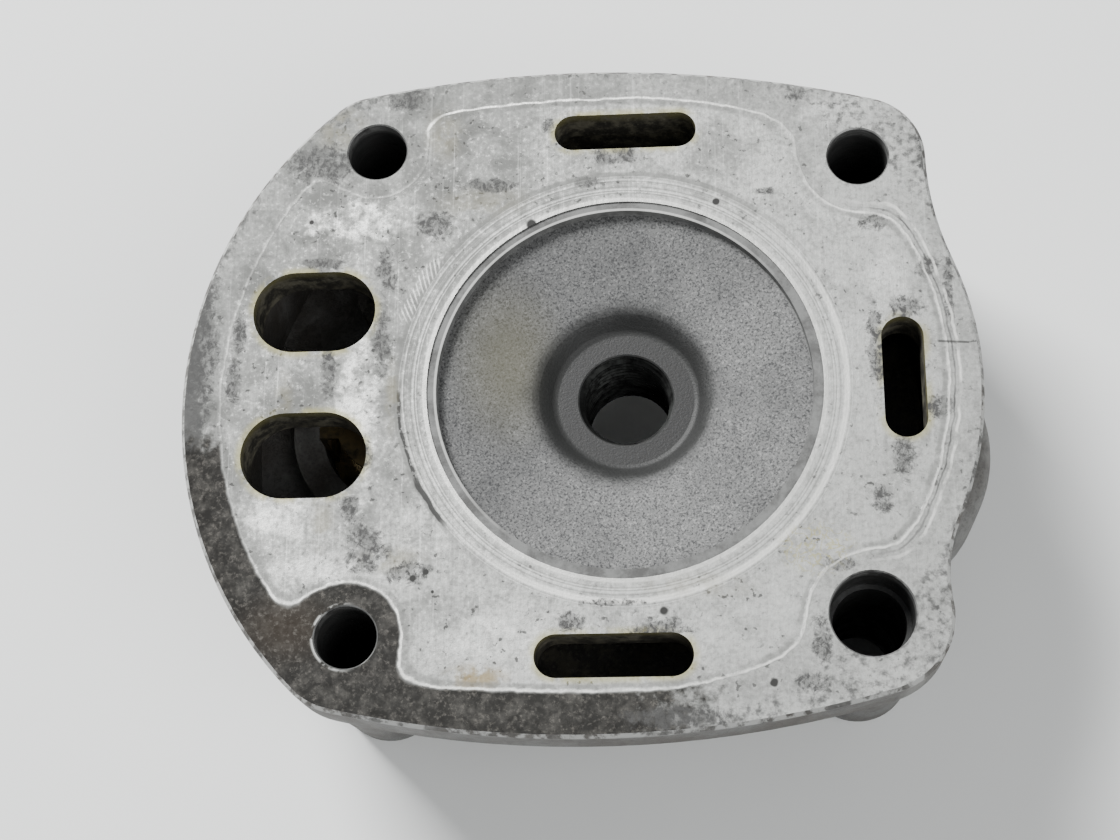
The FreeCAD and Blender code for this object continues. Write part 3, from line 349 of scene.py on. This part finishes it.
# Paler, scrubbed patches: centre x, centre y, half width, half height.
SCRUBBED = ((-40.0, 27.0, 9.0, 4.0), (39.0, 16.0, 4.0, 5.0), (37.0, -43.5, 6.0, 3.0),
            (-45.0, -27.0, 8.0, 3.0), (-50.0, -19.0, 6.0, 4.0), (33.0, 43.0, 7.0, 4.0),
            (-18.0, -38.0, 9.0, 5.0), (-39.0, -3.0, 4.0, 16.0))
# Single places: centre x, centre y, half width, half height.
RUST_PLACE = (-21.0, -42.6, 4.2, 1.8)
CRAZED_PLACE = (27.0, -25.0, 5.5, 4.0)
BROWN_PLACE = (-48.0, -35.0, 7.0, 5.0)
# A scratch across the right edge: centre x, half length, height at x = 0, slope.
TICK = (47.6, 2.0, 8.5, 0.07)


def imprint_distance(g):
    """Signed distance from the line that the gasket left, more than nought outside it."""
    distances = [g.minus(g.reach(cx, cy), radius) for cx, cy, radius in IMPRINT_SIDES]
    right_x, right_y, right_radius = IMPRINT_RIGHT
    only_right = g.math("MAXIMUM", g.x, 0.0)
    distances.append(g.minus(g.reach(right_x, right_y, x=only_right), right_radius))
    for corner, radius in IMPRINT_STUDS.items():
        distances.append(g.math("SUBTRACT", radius, g.reach(*STUDS[corner])))
    result = distances[0]
    for distance in distances[1:]:
        result = g.math("SMOOTH_MAX", result, distance, IMPRINT_BLEND)
    return result


def patchy(g, mask, size, shift, soft):
    """The mask with a ragged, speckled edge."""
    value = g.plus(g.noise(size, 6.0, 0.62, shift=shift), mask)
    return g.ramp(value, 1.0 - soft, 1.0 + soft)


def blots_at(g, places):
    """The strongest of several soft elliptical blots."""
    result = None
    for cx, cy, half_x, half_y, *strength in places:
        mask = g.ramp(g.reach(cx, cy, grow=(half_x, half_y)), 1.9, 0.2)
        if strength:
            mask = g.times(mask, strength[0])
        result = mask if result is None else g.either(result, mask)
    return result


def base_metal(g, colour):
    """Mottling, grain and fine scratches of the planed face, greyer towards the upper left."""
    clouds = g.noise(16.0, 4.0, 0.6, shift=4.0)
    blots = g.noise(5.0, 6.0, 0.66, shift=1.0, warp=0.5)
    side = g.ramp(g.minus(g.x, g.times(g.y, 0.6)), 34.0, -56.0)
    shade = g.plus(g.times(g.ramp(clouds, 0.40, 0.62), 0.30), g.times(side, 0.72))
    shade = g.plus(g.times(g.ramp(blots, 0.43, 0.62), 0.45), shade)
    colour = g.mix(g.times(shade, 0.68), colour, FACE_GREY)
    pale = patchy(g, g.times(blots_at(g, SCRUBBED), 0.55), 2.5, 62.0, 0.22)
    colour = g.mix(g.times(pale, 0.7), colour, FACE_WHITE)
    grain = g.noise(0.7, 5.0, 0.74, shift=5.0)
    colour = g.mix(g.times(g.ramp(grain, 0.44, 0.68), 0.55), colour, FACE_GREY)
    colour = g.mix(g.times(g.ramp(grain, 0.46, 0.32), 0.32), colour, FACE_WHITE)
    lines = g.noise(0.5, 3.0, 0.6, squeeze=(1.0, 0.02, 1.0), shift=9.0)
    colour = g.mix(g.times(g.ramp(lines, 0.56, 0.78), 0.24), colour, FACE_WHITE)
    colour = g.mix(g.times(g.ramp(lines, 0.44, 0.26), 0.22), colour, FACE_GREY)
    speck = g.both(g.ramp(g.noise(0.9, 2.0, 0.5, shift=23.0), 0.63, 0.69),
                   g.ramp(blots, 0.40, 0.58))
    return g.mix(g.times(speck, 0.8), colour, FACE_DARK)


def round_the_bore(g, colour, radius, wobble):
    """Turned rings, the sealing ring's print, the chatter marks and the crack beside the bore."""
    turned = g.add("ShaderNodeTexNoise", noise_dimensions="1D")
    g.put(turned.inputs["W"], radius)
    g.put(turned.inputs["Scale"], 2.6)
    g.put(turned.inputs["Detail"], 2.0)
    zone = g.ramp(radius, 34.6, 32.4)
    colour = g.mix(g.both(zone, g.ramp(turned.outputs[0], 0.52, 0.72), 0.30), colour, FACE_WHITE)
    colour = g.mix(g.both(zone, g.ramp(turned.outputs[0], 0.50, 0.32), 0.45), colour, FACE_GREY)
    across = g.minus(g.x, g.y)
    fire = g.times(g.band(radius, 32.2, 0.22, 0.35), g.ramp(across, -8.0, 25.0))
    colour = g.mix(g.times(fire, 0.65), colour, IMPRINT_BRIGHT)
    groove = g.times(g.band(g.plus(radius, wobble), 33.4, 0.18, 0.4), g.ramp(across, 20.0, -20.0))
    colour = g.mix(g.times(groove, 0.55), colour, FACE_GREY)
    angle = g.math("ARCTAN2", g.y, g.x)
    ticks = g.ramp(g.math("SINE", g.times(g.plus(angle, g.times(radius, 0.03)), 230.0)), 0.1, 0.8)
    chatter = g.both(ticks, g.band(g.plus(radius, g.times(wobble, 3.0)), 34.2, 0.7, 0.5),
                     g.band(angle, 2.66, 0.13, 0.05))
    colour = g.mix(g.times(chatter, 0.38), colour, FACE_WHITE)
    ragged = g.ramp(g.noise(0.9, 4.0, shift=35.0), 0.36, 0.48)
    wide = g.times(g.band(angle, -2.60, 0.09, 0.07),
                   g.band(g.plus(radius, wobble), 33.1, 0.26, 0.2))
    fine = g.both(g.band(angle, -2.91, 0.20, 0.06), ragged,
                  g.band(g.plus(radius, wobble), 33.0, 0.14, 0.2))
    colour = g.mix(g.times(g.either(wide, fine), 0.92), colour, FACE_DARK)
    rim = g.band(radius, RIM + 0.3, 0.2, 0.3)
    return g.mix(g.times(rim, 0.4), colour, IMPRINT_BRIGHT)


def outer_border(g, colour, line):
    """Outside the imprint: duller metal, sooty at the left and etched at the lower left."""
    outside = g.ramp(line, -0.1, 0.5)
    colour = g.mix(g.times(outside, 0.25), colour, FACE_GREY)
    left = g.both(g.ramp(g.x, -50.0, -60.0), g.ramp(g.y, 24.0, -6.0), 0.34)
    sooty = patchy(g, g.plus(g.times(g.ramp(line, 0.8, 5.5), 0.44), left), 1.2, 21.0, 0.12)
    colour = g.mix(g.both(outside, sooty, 0.85), colour, GRIME_GREY)
    etched = g.either(g.times(g.ramp(g.y, 0.0, -13.0), g.ramp(g.x, -36.0, -44.0)),
                      g.times(g.ramp(g.x, 30.0, -8.0), g.ramp(g.y, -20.0, -26.0)))
    etched = g.times(outside, patchy(g, g.times(etched, 0.9), 1.6, 12.0, 0.20))
    clouds = g.noise(2.6, 6.0, 0.70, shift=14.0)
    tint = g.mix(g.ramp(clouds, 0.42, 0.70), ETCH_DARK, ETCH_LIGHT)
    brown = g.spot(BROWN_PLACE, 1.4, 0.2)
    tint = g.mix(g.times(brown, 0.5), tint, ETCH_BROWN)
    flecks = g.ramp(g.noise(0.7, 5.0, 0.76, shift=19.0), 0.50, 0.70)
    tint = g.mix(g.times(flecks, 0.55), tint, ETCH_FLECK)
    colour = g.mix(g.times(etched, 0.97), colour, tint)
    bare = g.both(g.ramp(g.reach(*STUDS["bl"]), 5.15, 4.8), g.ramp(g.x, -38.0, -42.0),
                  g.ramp(g.noise(1.6, 4.0, shift=16.0), 0.40, 0.52))
    return g.mix(g.times(bare, 0.7), colour, FACE_LIGHT)


def imprint_lines(g, colour, line):
    """The pale pressed line, doubled on the right, with a painted shadow line inside it."""
    strong = g.either(g.ramp(g.y, 38.0, 46.0), g.ramp(g.x, 24.0, 36.0), g.ramp(g.y, -22.0, -34.0))
    worn = g.ramp(g.noise(3.0, 4.0, 0.6, shift=46.0), 0.34, 0.58)
    shown = g.times(g.blend(strong, 0.14, 0.85), g.blend(worn, 0.35, 1.0))
    # Painted shadow: a grey line along the inside of the pressed line.
    colour = g.mix(g.both(shown, g.band(line, -0.62, 0.12, 0.5), 0.75), colour, FACE_GREY)
    colour = g.mix(g.both(shown, g.band(line, 0.0, 0.04, 0.2)), colour, IMPRINT_BRIGHT)
    doubled = g.ramp(g.x, 30.0, 44.0)
    second = g.both(doubled, worn, g.band(line, 1.5, 0.08, 0.22))
    colour = g.mix(g.times(second, 0.8), colour, IMPRINT_BRIGHT)
    between = g.both(doubled, g.band(line, 0.75, 0.05, 0.14), g.blend(worn, 0.9, 0.5))
    return g.mix(between, colour, GRIME_GREY)


def port_stains(g, colour):
    """Olive stains on the metal beside the ports."""
    nearest = None
    for place in PORTS.values():
        edge = g.slot(*place)
        nearest = edge if nearest is None else g.math("MINIMUM", nearest, edge)
    damp = g.both(g.ramp(nearest, 1.3, 0.1), g.ramp(g.noise(4.0, 3.0, shift=30.0), 0.36, 0.56))
    return g.mix(g.times(damp, 0.55), colour, OLIVE)


def face_material():
    """The worn gasket face: metal, the bore's rings, stains, border, imprint, grime and pits."""
    g = Graph("gasket_face")
    radius = g.reach(0.0, 0.0)
    wobble = g.times(g.minus(g.noise(2.4, 2.0, shift=3.0), 0.5), 0.7)
    line = g.plus(imprint_distance(g), wobble)
    colour = base_metal(g, FACE_LIGHT)
    colour = round_the_bore(g, colour, radius, wobble)
    colour = port_stains(g, colour)
    rust = g.both(g.spot(RUST_PLACE, 1.4, 0.3),
                  g.ramp(g.noise(2.0, 4.0, shift=33.0), 0.38, 0.60))
    colour = g.mix(g.times(rust, 0.75), colour, RUST)
    halo = g.times(blots_at(g, STAINS), g.ramp(g.noise(2.6, 4.0, shift=47.0), 0.34, 0.56))
    colour = g.mix(g.times(halo, 0.75), colour, STAIN)
    veins = g.math("ABSOLUTE", g.minus(g.noise(1.8, 2.0, shift=37.0, warp=1.2), 0.5))
    veins = g.times(g.ramp(veins, 0.05, 0.01), g.spot(CRAZED_PLACE, 1.2, 0.6))
    colour = g.mix(g.times(veins, 0.55), colour, OLIVE)
    colour = outer_border(g, colour, line)
    smears = blots_at(g, GRIME)
    ragged = g.times(g.minus(g.noise(2.2, 6.0, 0.78, shift=20.0, warp=0.5), 0.5), 2.2)
    grime = g.ramp(g.plus(ragged, smears), 0.18, 0.50)
    strokes = g.noise(0.8, 5.0, 0.78, squeeze=(1.0, 0.7, 1.0), shift=27.0, warp=0.4)
    strokes = g.ramp(strokes, 0.42, 0.58)
    grime = g.both(grime, g.ramp(smears, 0.02, 0.25), g.blend(strokes, 0.45, 1.0))
    colour = g.mix(grime, colour, GRIME_GREY)
    colour = imprint_lines(g, colour, line)
    pits = None
    for cx, cy, size in PITS:
        pit = g.ramp(g.plus(g.reach(cx, cy), wobble), size * 1.2, size * 0.7)
        pits = pit if pits is None else g.either(pits, pit)
    colour = g.mix(pits, colour, FACE_DARK)
    tick_x, tick_half, tick_y, tick_slope = TICK
    tick = g.both(g.band(g.x, tick_x, tick_half, 0.4),
                  g.band(g.plus(g.y, g.times(g.x, tick_slope)), tick_y, 0.10, 0.14))
    colour = g.mix(g.times(tick, 0.8), colour, FACE_DARK)
    # Dark places are dull, and bare places shine.
    brightness = g.add("ShaderNodeRGBToBW")
    g.put(brightness.inputs[0], colour)
    clean = g.ramp(brightness.outputs[0], 0.06, 0.42)
    height = g.plus(g.noise(0.5, 4.0, 0.7, shift=5.0), g.noise(6.0, 2.0, 0.5, shift=1.0))
    brushed = g.noise(0.45, 2.0, 0.5, squeeze=(1.0, 0.03, 1.0), shift=9.0)
    height = g.plus(height, g.times(brushed, 0.5))
    height = g.plus(height, g.times(g.band(line, 0.0, 0.12, 0.24), 0.6))
    return g.finish(colour, g.blend(clean, 0.25, 0.72), g.blend(clean, 0.80, 0.48),
                    g.bump(height, 0.035), **{"Specular IOR Level": 0.2})


# ------------------------------------------------------------------ chamber, casting and bores

BLAST_LIGHT = (0.138, 0.139, 0.137)
BLAST_DARK = (0.022, 0.023, 0.024)
BLAST_OLIVE = (0.105, 0.100, 0.062)
BLAST_FLECK = (0.27, 0.27, 0.265)
# Colour of the pocket round the plug: soot with painted shade of its recess.
POCKET_SOOT_AND_SHADE = (0.017, 0.0175, 0.017)
LAND_GREY = (0.021, 0.021, 0.0205)
STEP_GREY = (0.135, 0.137, 0.134)
CAST_DARK = (0.030, 0.029, 0.028)
CAST_BROWN = (0.075, 0.068, 0.060)
CAST_GREY = (0.13, 0.13, 0.125)
CHALK = (0.26, 0.26, 0.25)
BORED_LIGHT = (0.26, 0.262, 0.255)
BORED_GREY = (0.13, 0.132, 0.128)
# Dark of the bores' walls: painted shade deep in the holes.
BORED_SHADE = (0.026, 0.027, 0.027)
SCALE_DARK = (0.020, 0.019, 0.016)
SCALE_GREY = (0.075, 0.070, 0.050)
SCALE_FLECK = (0.13, 0.125, 0.10)
OLIVE_PLACE = (-17.0, 5.0, 7.0, 11.0)


def bowl_material():
    """The blasted bowl, darker and smoother towards the plug, with soot and painted shade round the
    pocket, painted shade towards the upper left and a painted highlight on the step's edge.
    """
    g = Graph("chamber_bowl")
    radius = g.reach(0.0, 0.0)
    speckle = g.noise(0.32, 3.0, 0.68, shift=40.0)
    colour = g.mix(g.times(g.ramp(speckle, 0.46, 0.64), 0.85), BLAST_LIGHT, BLAST_DARK)
    coarse = g.noise(0.6, 3.0, 0.66, shift=41.0)
    colour = g.mix(g.times(g.ramp(coarse, 0.58, 0.68), 0.55), colour, BLAST_DARK)
    flecks = g.ramp(g.noise(0.42, 2.0, 0.6, shift=45.0), 0.57, 0.66)
    colour = g.mix(g.times(flecks, 0.55), colour, BLAST_FLECK)
    clouds = g.noise(9.0, 4.0, shift=42.0)
    colour = g.mix(g.times(g.ramp(clouds, 0.42, 0.7), 0.30), colour, BLAST_DARK)
    # Painted shade: the bowl darker towards the upper left, where its slope faces away from the
    # light.
    shade = g.ramp(g.minus(g.x, g.times(g.y, 0.5)), 12.0, -26.0)
    colour = g.mix(g.times(shade, 0.36), colour, BLAST_DARK)
    olive = g.spot(OLIVE_PLACE, 1.5, 0.1)
    colour = g.mix(g.times(olive, 0.45), colour, BLAST_OLIVE)
    # Soot and painted shade: the pocket round the plug hole and the bowl just round it darkened as
    # a recess; the same mask makes it smoother.
    wavy = g.plus(radius, g.times(g.minus(g.noise(8.0, 2.0, shift=43.0), 0.5), 2.5))
    pocket_soot_and_shade = g.ramp(wavy, POCKET + 2.6, POCKET - 1.8)
    colour = g.mix(g.times(pocket_soot_and_shade, 0.95), colour, POCKET_SOOT_AND_SHADE)
    land = g.mix(g.ramp(speckle, 0.45, 0.7), LAND_GREY, BLAST_DARK)
    colour = g.mix(g.ramp(radius, LAND_EDGE, LAND_EDGE - 1.4), colour, land)
    rim = g.ramp(radius, CHAMBER - 0.2, CHAMBER + 0.05)
    stain = g.ramp(g.noise(4.0, 5.0, 0.66, shift=44.0), 0.40, 0.66)
    step_stains_and_highlight = g.mix(g.times(stain, 0.65), STEP_GREY, CAST_DARK)
    # Painted highlight: a pale line along the step's edge towards the upper left, laid over the
    # step's real stains.
    lit = g.times(g.band(radius, CHAMBER + 0.2, 0.1, 0.15), g.ramp(g.minus(g.y, g.x), -12.0, 20.0))
    step_stains_and_highlight = g.mix(g.times(lit, 0.45), step_stains_and_highlight, FACE_WHITE)
    colour = g.mix(rim, colour, step_stains_and_highlight)
    height = g.plus(speckle, g.times(coarse, 0.8))
    return g.finish(colour, 0.2, g.blend(pocket_soot_and_shade, 0.75, 0.52), g.bump(height, 0.05),
                    **{"Specular IOR Level": 0.25})


def cast_material():
    """Rough, stained casting: the outer sides."""
    g = Graph("worn_aluminium")
    lumps = g.noise(9.0, 5.0, 0.6, shift=50.0)
    sand = g.noise(0.6, 4.0, 0.68, shift=52.0)
    colour = g.mix(g.ramp(lumps, 0.34, 0.70), CAST_GREY, CAST_BROWN)
    colour = g.mix(g.times(g.ramp(sand, 0.44, 0.66), 0.42), colour, CAST_DARK)
    runs = g.noise(6.0, 5.0, 0.66, squeeze=(1.0, 1.0, 0.30), shift=54.0, warp=0.6)
    colour = g.mix(g.times(g.ramp(runs, 0.50, 0.76), 0.50), colour, CHALK)
    soot = g.noise(16.0, 6.0, 0.68, shift=58.0)
    colour = g.mix(g.times(g.ramp(soot, 0.48, 0.70), 0.60), colour, CAST_DARK)
    edge = g.both(g.ramp(g.z, -1.4, -0.3), g.ramp(g.noise(2.2, 5.0, 0.66, shift=56.0), 0.44, 0.56))
    colour = g.mix(g.times(edge, 0.75), colour, FACE_LIGHT)
    height = g.plus(g.times(g.noise(2.6, 5.0, 0.6, shift=51.0), 2.2), g.times(sand, 1.4))
    return g.finish(colour, 0.30, g.blend(g.ramp(runs, 0.4, 0.7), 0.60, 0.78), g.bump(height, 0.07))


def bored_material():
    """Drilled and spot-faced surfaces with fine rings, dark deposits and painted shade down the
    bores.
    """
    g = Graph("bored_metal")
    rings = g.noise(0.5, 2.0, 0.5, squeeze=(0.15, 0.15, 1.0), shift=60.0)
    stain = g.noise(3.0, 5.0, 0.64, shift=64.0)
    colour = g.mix(g.ramp(rings, 0.35, 0.68), BORED_LIGHT, BORED_GREY)
    # Painted shade: the bores' walls dark from 3 mm below the face to 3 mm above the bottom.
    painted_depth_shade = g.times(g.ramp(g.z, FLOOR_Z + 0.6, FLOOR_Z + 3.0), g.ramp(g.z, -1.0, -3.0))
    colour = g.mix(g.times(painted_depth_shade, 0.88), colour, BORED_SHADE)
    colour = g.mix(g.times(g.ramp(stain, 0.46, 0.64), 0.8), colour, CAST_DARK)
    return g.finish(colour, 0.6, g.blend(g.ramp(stain, 0.4, 0.65), 0.38, 0.66), g.bump(rings, 0.03))


def jacket_material():
    """The water jacket and the ports' walls, with olive scale near the face and mud below."""
    g = Graph("water_jacket")
    scale = g.noise(2.6, 6.0, 0.66, shift=80.0)
    fine = g.noise(0.6, 4.0, 0.66, shift=82.0)
    colour = g.mix(g.ramp(scale, 0.42, 0.64), SCALE_DARK, SCALE_GREY)
    colour = g.mix(g.times(g.ramp(fine, 0.52, 0.72), 0.5), colour, SCALE_FLECK)
    lip = g.both(g.ramp(g.z, -3.0, -0.1), g.ramp(scale, 0.66, 0.44))
    colour = g.mix(g.times(lip, 0.32), colour, OLIVE)
    height = g.plus(g.times(scale, 2.4), fine)
    return g.finish(colour, 0.1, g.blend(g.ramp(scale, 0.4, 0.7), 0.50, 0.78), g.bump(height, 0.07))


# The casting's surfaces, in the order of its materials.
CAST, FACE, BOWL, BORED, JACKET = range(5)


def in_port(x, y):
    """True on the wall of one of the coolant ports."""
    for cx, cy, size_x, size_y in PORTS.values():
        radius = min(size_x, size_y) / 2
        dx = max(abs(x - cx) - (size_x / 2 - radius), 0.0)
        dy = max(abs(y - cy) - (size_y / 2 - radius), 0.0)
        if math.hypot(dx, dy) < radius + 0.2:
            return True
    return False


def casting_zone(centre, normal):
    """Which of the casting's surfaces a polygon belongs to, from its centre in millimetres.

    Each limit stands a little off its surface, so that rounding doesn't decide.
    """
    radius = math.hypot(centre.x, centre.y)
    if normal.z > 0.99 and centre.z > -0.05:
        return FACE
    if radius < RIM + 0.1 and centre.z > POCKET_FLOOR - 0.02:
        return BOWL
    if centre.z < FLOOR_Z + 0.5 or (radius < SEAT_EDGE + 0.1 and centre.z < POCKET_FLOOR):
        return BORED
    for corner, (x, y) in STUDS.items():
        if math.hypot(centre.x - x, centre.y - y) < HOLE[corner] + 0.25:
            return BORED
    if centre.z > JACKET_TOP - 0.1:
        return JACKET if in_port(centre.x, centre.y) else CAST
    inside = max(math.hypot(centre.x - cx, centre.y - cy) - reach
                 for cx, cy, reach in JACKET_SIDES)
    return JACKET if centre.z > JACKET_FLOOR and inside < 0.5 else CAST


def paint_casting(part):
    """Gives each polygon of the casting the material of its surface."""
    makers = {CAST: cast_material, FACE: face_material, BOWL: bowl_material,
              BORED: bored_material, JACKET: jacket_material}
    part.data.materials.clear()
    for zone in sorted(makers):
        part.data.materials.append(makers[zone]())
    for polygon in part.data.polygons:
        polygon.material_index = casting_zone(polygon.center / MM, polygon.normal)


# ------------------------------------------------------------------ the other pieces' surfaces

COVER_LIGHT = (0.20, 0.20, 0.195)
COVER_DARK = (0.10, 0.095, 0.085)
COVER_CHALK = (0.5, 0.5, 0.47)
METALS = {  # light colour, dark colour, roughness
    "zinc_steel": ((0.52, 0.50, 0.42), (0.24, 0.22, 0.18), 0.34),
    "thermostat_brass": ((0.17, 0.13, 0.065), (0.06, 0.055, 0.042), 0.5),
    "spring_steel": ((0.40, 0.39, 0.37), (0.16, 0.14, 0.12), 0.32),
    "element_copper": ((0.50, 0.26, 0.15), (0.20, 0.12, 0.08), 0.42),
    "sender_brass": ((0.42, 0.31, 0.14), (0.17, 0.13, 0.07), 0.40),
    "seal_copper": ((0.40, 0.21, 0.13), (0.18, 0.10, 0.07), 0.42),
    "tinned_terminal": ((0.62, 0.61, 0.57), (0.34, 0.32, 0.28), 0.28),
}
SOFT_MATTERS = {  # light colour, dark colour, roughness
    "black_rubber": ((0.012, 0.012, 0.012), (0.03, 0.03, 0.028), 0.6),
    "wax": ((0.42, 0.27, 0.16), (0.30, 0.19, 0.11), 0.5),
    "thermistor_ceramic": ((0.10, 0.10, 0.095), (0.05, 0.05, 0.05), 0.7),
    "insulator_black": ((0.008, 0.008, 0.009), (0.018, 0.017, 0.016), 0.5),
}
# The thread's metal near black: painted shade of the deep plug hole.
THREAD_SHADE_LOOK = ((0.022, 0.023, 0.022), (0.008, 0.008, 0.008), 0.58)


def plain_metal(name, light, dark, rough, blot=3.0):
    """Dull metal with soft stains, fine grain and uneven gloss."""
    g = Graph(name)
    stain = g.ramp(g.noise(blot, 4.0, 0.6, shift=2.0), 0.38, 0.68)
    fine = g.noise(0.4, 3.0, 0.6, shift=7.0)
    colour = g.mix(stain, light, dark)
    return g.finish(colour, 1.0, g.blend(stain, rough, rough + 0.2), g.bump(fine, 0.02))


def soft_matter(name, light, dark, rough):
    """Dull rubber, wax, ceramic or plastic with soft stains."""
    g = Graph(name)
    stain = g.ramp(g.noise(2.0, 4.0, 0.6, shift=3.0), 0.35, 0.7)
    fine = g.noise(0.5, 3.0, 0.6, shift=8.0)
    colour = g.mix(stain, light, dark)
    return g.finish(colour, 0.0, g.blend(stain, rough, rough + 0.12), g.bump(fine, 0.03))


def cover_material():
    """Sand-cast cap with chalky stains."""
    g = Graph("cast_cover")
    lumps = g.noise(2.0, 5.0, 0.6, shift=71.0)
    sand = g.noise(0.5, 3.0, 0.65, shift=73.0)
    colour = g.mix(g.ramp(lumps, 0.4, 0.65), COVER_LIGHT, COVER_DARK)
    chalk = g.both(g.ramp(g.noise(4.0, 6.0, 0.65, shift=75.0), 0.55, 0.68),
                   g.ramp(sand, 0.4, 0.6))
    colour = g.mix(g.times(chalk, 0.5), colour, COVER_CHALK)
    height = g.plus(g.times(lumps, 2.0), g.times(sand, 1.4))
    return g.finish(colour, 0.6, g.blend(chalk, 0.5, 0.75), g.bump(height, 0.05))


def slot_materials():
    """One material for each of the record's slots but the casting's."""
    materials = {"cast_cover": cover_material()}
    for name, look in METALS.items():
        materials[name] = plain_metal(name, *look)
    for name, look in SOFT_MATTERS.items():
        materials[name] = soft_matter(name, *look)
    return materials


def paint_parts(materials):
    """Gives every other part the material of its slot in the record."""
    for row in frame["record"]["subparts"]:
        if row["node"] == "head_casting":
            continue
        part = PARTS[row["node"]]
        part.data.materials.clear()
        part.data.materials.append(materials[row["material_slot"]])


# ------------------------------------------------------------------ pieces beyond the CAD

def new_piece(name, data, material):
    """An object with that mesh and that one material, which stays with the head."""
    piece = bpy.data.objects.new(name, data)
    bpy.context.scene.collection.objects.link(piece)
    data.materials.clear()
    data.materials.append(material)
    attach(piece, "head")
    return piece


def plug_thread(material):
    """The thread's ridge in the plug hole, swept along its helix and thinned at both ends."""
    half_root, half_crest = THREAD_PITCH * 0.44, THREAD_PITCH * 0.09
    profile = ((THREAD_ROOT, -half_root), (THREAD_CREST, -half_crest),
               (THREAD_CREST, half_crest), (THREAD_ROOT, half_root))
    count = int((THREAD_TOP - THREAD_LOW) / THREAD_PITCH * THREAD_STEPS)
    mesh = bmesh.new()
    rows = []
    for i in range(count + 1):
        angle = 2 * math.pi * i / THREAD_STEPS
        rise = THREAD_LOW + THREAD_PITCH * i / THREAD_STEPS
        fade = min(1.0, i / THREAD_STEPS, (count - i) / THREAD_STEPS)
        row = []
        for reach, lift in profile:
            reach = THREAD_ROOT + (reach - THREAD_ROOT) * fade
            point = Vector((reach * math.cos(angle), reach * math.sin(angle), rise + lift * fade))
            row.append(mesh.verts.new(point * MM))
        rows.append(row)
    for low, high in zip(rows, rows[1:]):
        for i in range(len(profile)):
            j = (i + 1) % len(profile)
            mesh.faces.new((low[i], low[j], high[j], high[i]))
    mesh.faces.new(rows[0])
    mesh.faces.new(reversed(rows[-1]))
    bmesh.ops.recalc_face_normals(mesh, faces=mesh.faces)
    data = bpy.data.meshes.new("plug_thread")
    mesh.to_mesh(data)
    mesh.free()
    piece = new_piece("plug_thread", data, material)


def working_spring(material):
    """The thermostat's spring as a piece of its own, in place of the CAD's spring, which is hidden.
    """
    piece = new_piece("spring_coil", PARTS["thermostat_spring"].data.copy(), material)
    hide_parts("thermostat_spring")
    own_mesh(piece)


# ------------------------------------------------------------------ camera, light and floor

CAMERA_RIGHT = (0.9966, 0.0, -0.082)
CAMERA_UP = (0.0253, 0.9514, 0.3069)
CAMERA_BACK = (0.078, -0.3079, 0.9482)
CAMERA_PLACE = (13.32, -94.36, 274.5)
LIGHTS = {  # place, width, watts
    "key": ((-520, 640, 780), 420, 41.0),
    "fill": ((420, -380, 560), 600, 6.0),
}
LIGHT_AIM = (0, 0, -20)
SKY_COLOUR = (0.80, 0.82, 0.85)
SKY_STRENGTH = 0.40
FLOOR_HALF = 3000
FLOOR_LIGHT = (0.62, 0.63, 0.62)
FLOOR_DARK = (0.58, 0.59, 0.585)


def camera():
    """Above the face and a little in front of it, looking down."""
    data = bpy.data.cameras.new("camera")
    data.lens = 64.29
    data.sensor_width = 36.0
    item = bpy.data.objects.new("camera", data)
    bpy.context.scene.collection.objects.link(item)
    place = Matrix((CAMERA_RIGHT, CAMERA_UP, CAMERA_BACK)).transposed().to_4x4()
    place.translation = Vector(CAMERA_PLACE) * MM
    item.matrix_world = place
    bpy.context.scene.camera = item


def area_light(name, place, width, watts):
    data = bpy.data.lights.new(name, "AREA")
    data.shape = "RECTANGLE"
    data.size = data.size_y = width * MM
    data.energy = watts
    item = bpy.data.objects.new(name, data)
    bpy.context.scene.collection.objects.link(item)
    item.location = Vector(place) * MM
    way = Vector(LIGHT_AIM) - Vector(place)
    item.rotation_euler = way.to_track_quat("-Z", "Y").to_euler()


def sky():
    world = bpy.data.worlds.new("studio")
    world.use_nodes = True
    background = world.node_tree.nodes["Background"]
    background.inputs["Color"].default_value = (*SKY_COLOUR, 1.0)
    background.inputs["Strength"].default_value = SKY_STRENGTH
    bpy.context.scene.world = world


def studio_floor():
    mesh = bpy.data.meshes.new("floor")
    half, low = FLOOR_HALF * MM, FLOOR_Z * MM
    corners = [(-half, -half, low), (half, -half, low), (half, half, low), (-half, half, low)]
    mesh.from_pydata(corners, [], [(0, 1, 2, 3)])
    floor = bpy.data.objects.new("floor", mesh)
    bpy.context.scene.collection.objects.link(floor)
    g = Graph("floor")
    cloud = g.noise(60.0, 3.0, shift=90.0)
    mesh.materials.append(g.finish(g.mix(cloud, FLOOR_LIGHT, FLOOR_DARK), 0.0, 0.8))


# ------------------------------------------------------------------ the scene

paint_casting(PARTS["head_casting"])
SLOT_MATERIALS = slot_materials()
paint_parts(SLOT_MATERIALS)
working_spring(SLOT_MATERIALS["spring_steel"])
plug_thread(plain_metal("plug_thread_shaded_metal", *THREAD_SHADE_LOOK, blot=2.0))
camera()
for light, setting in LIGHTS.items():
    area_light(light, *setting)
sky()
studio_floor()
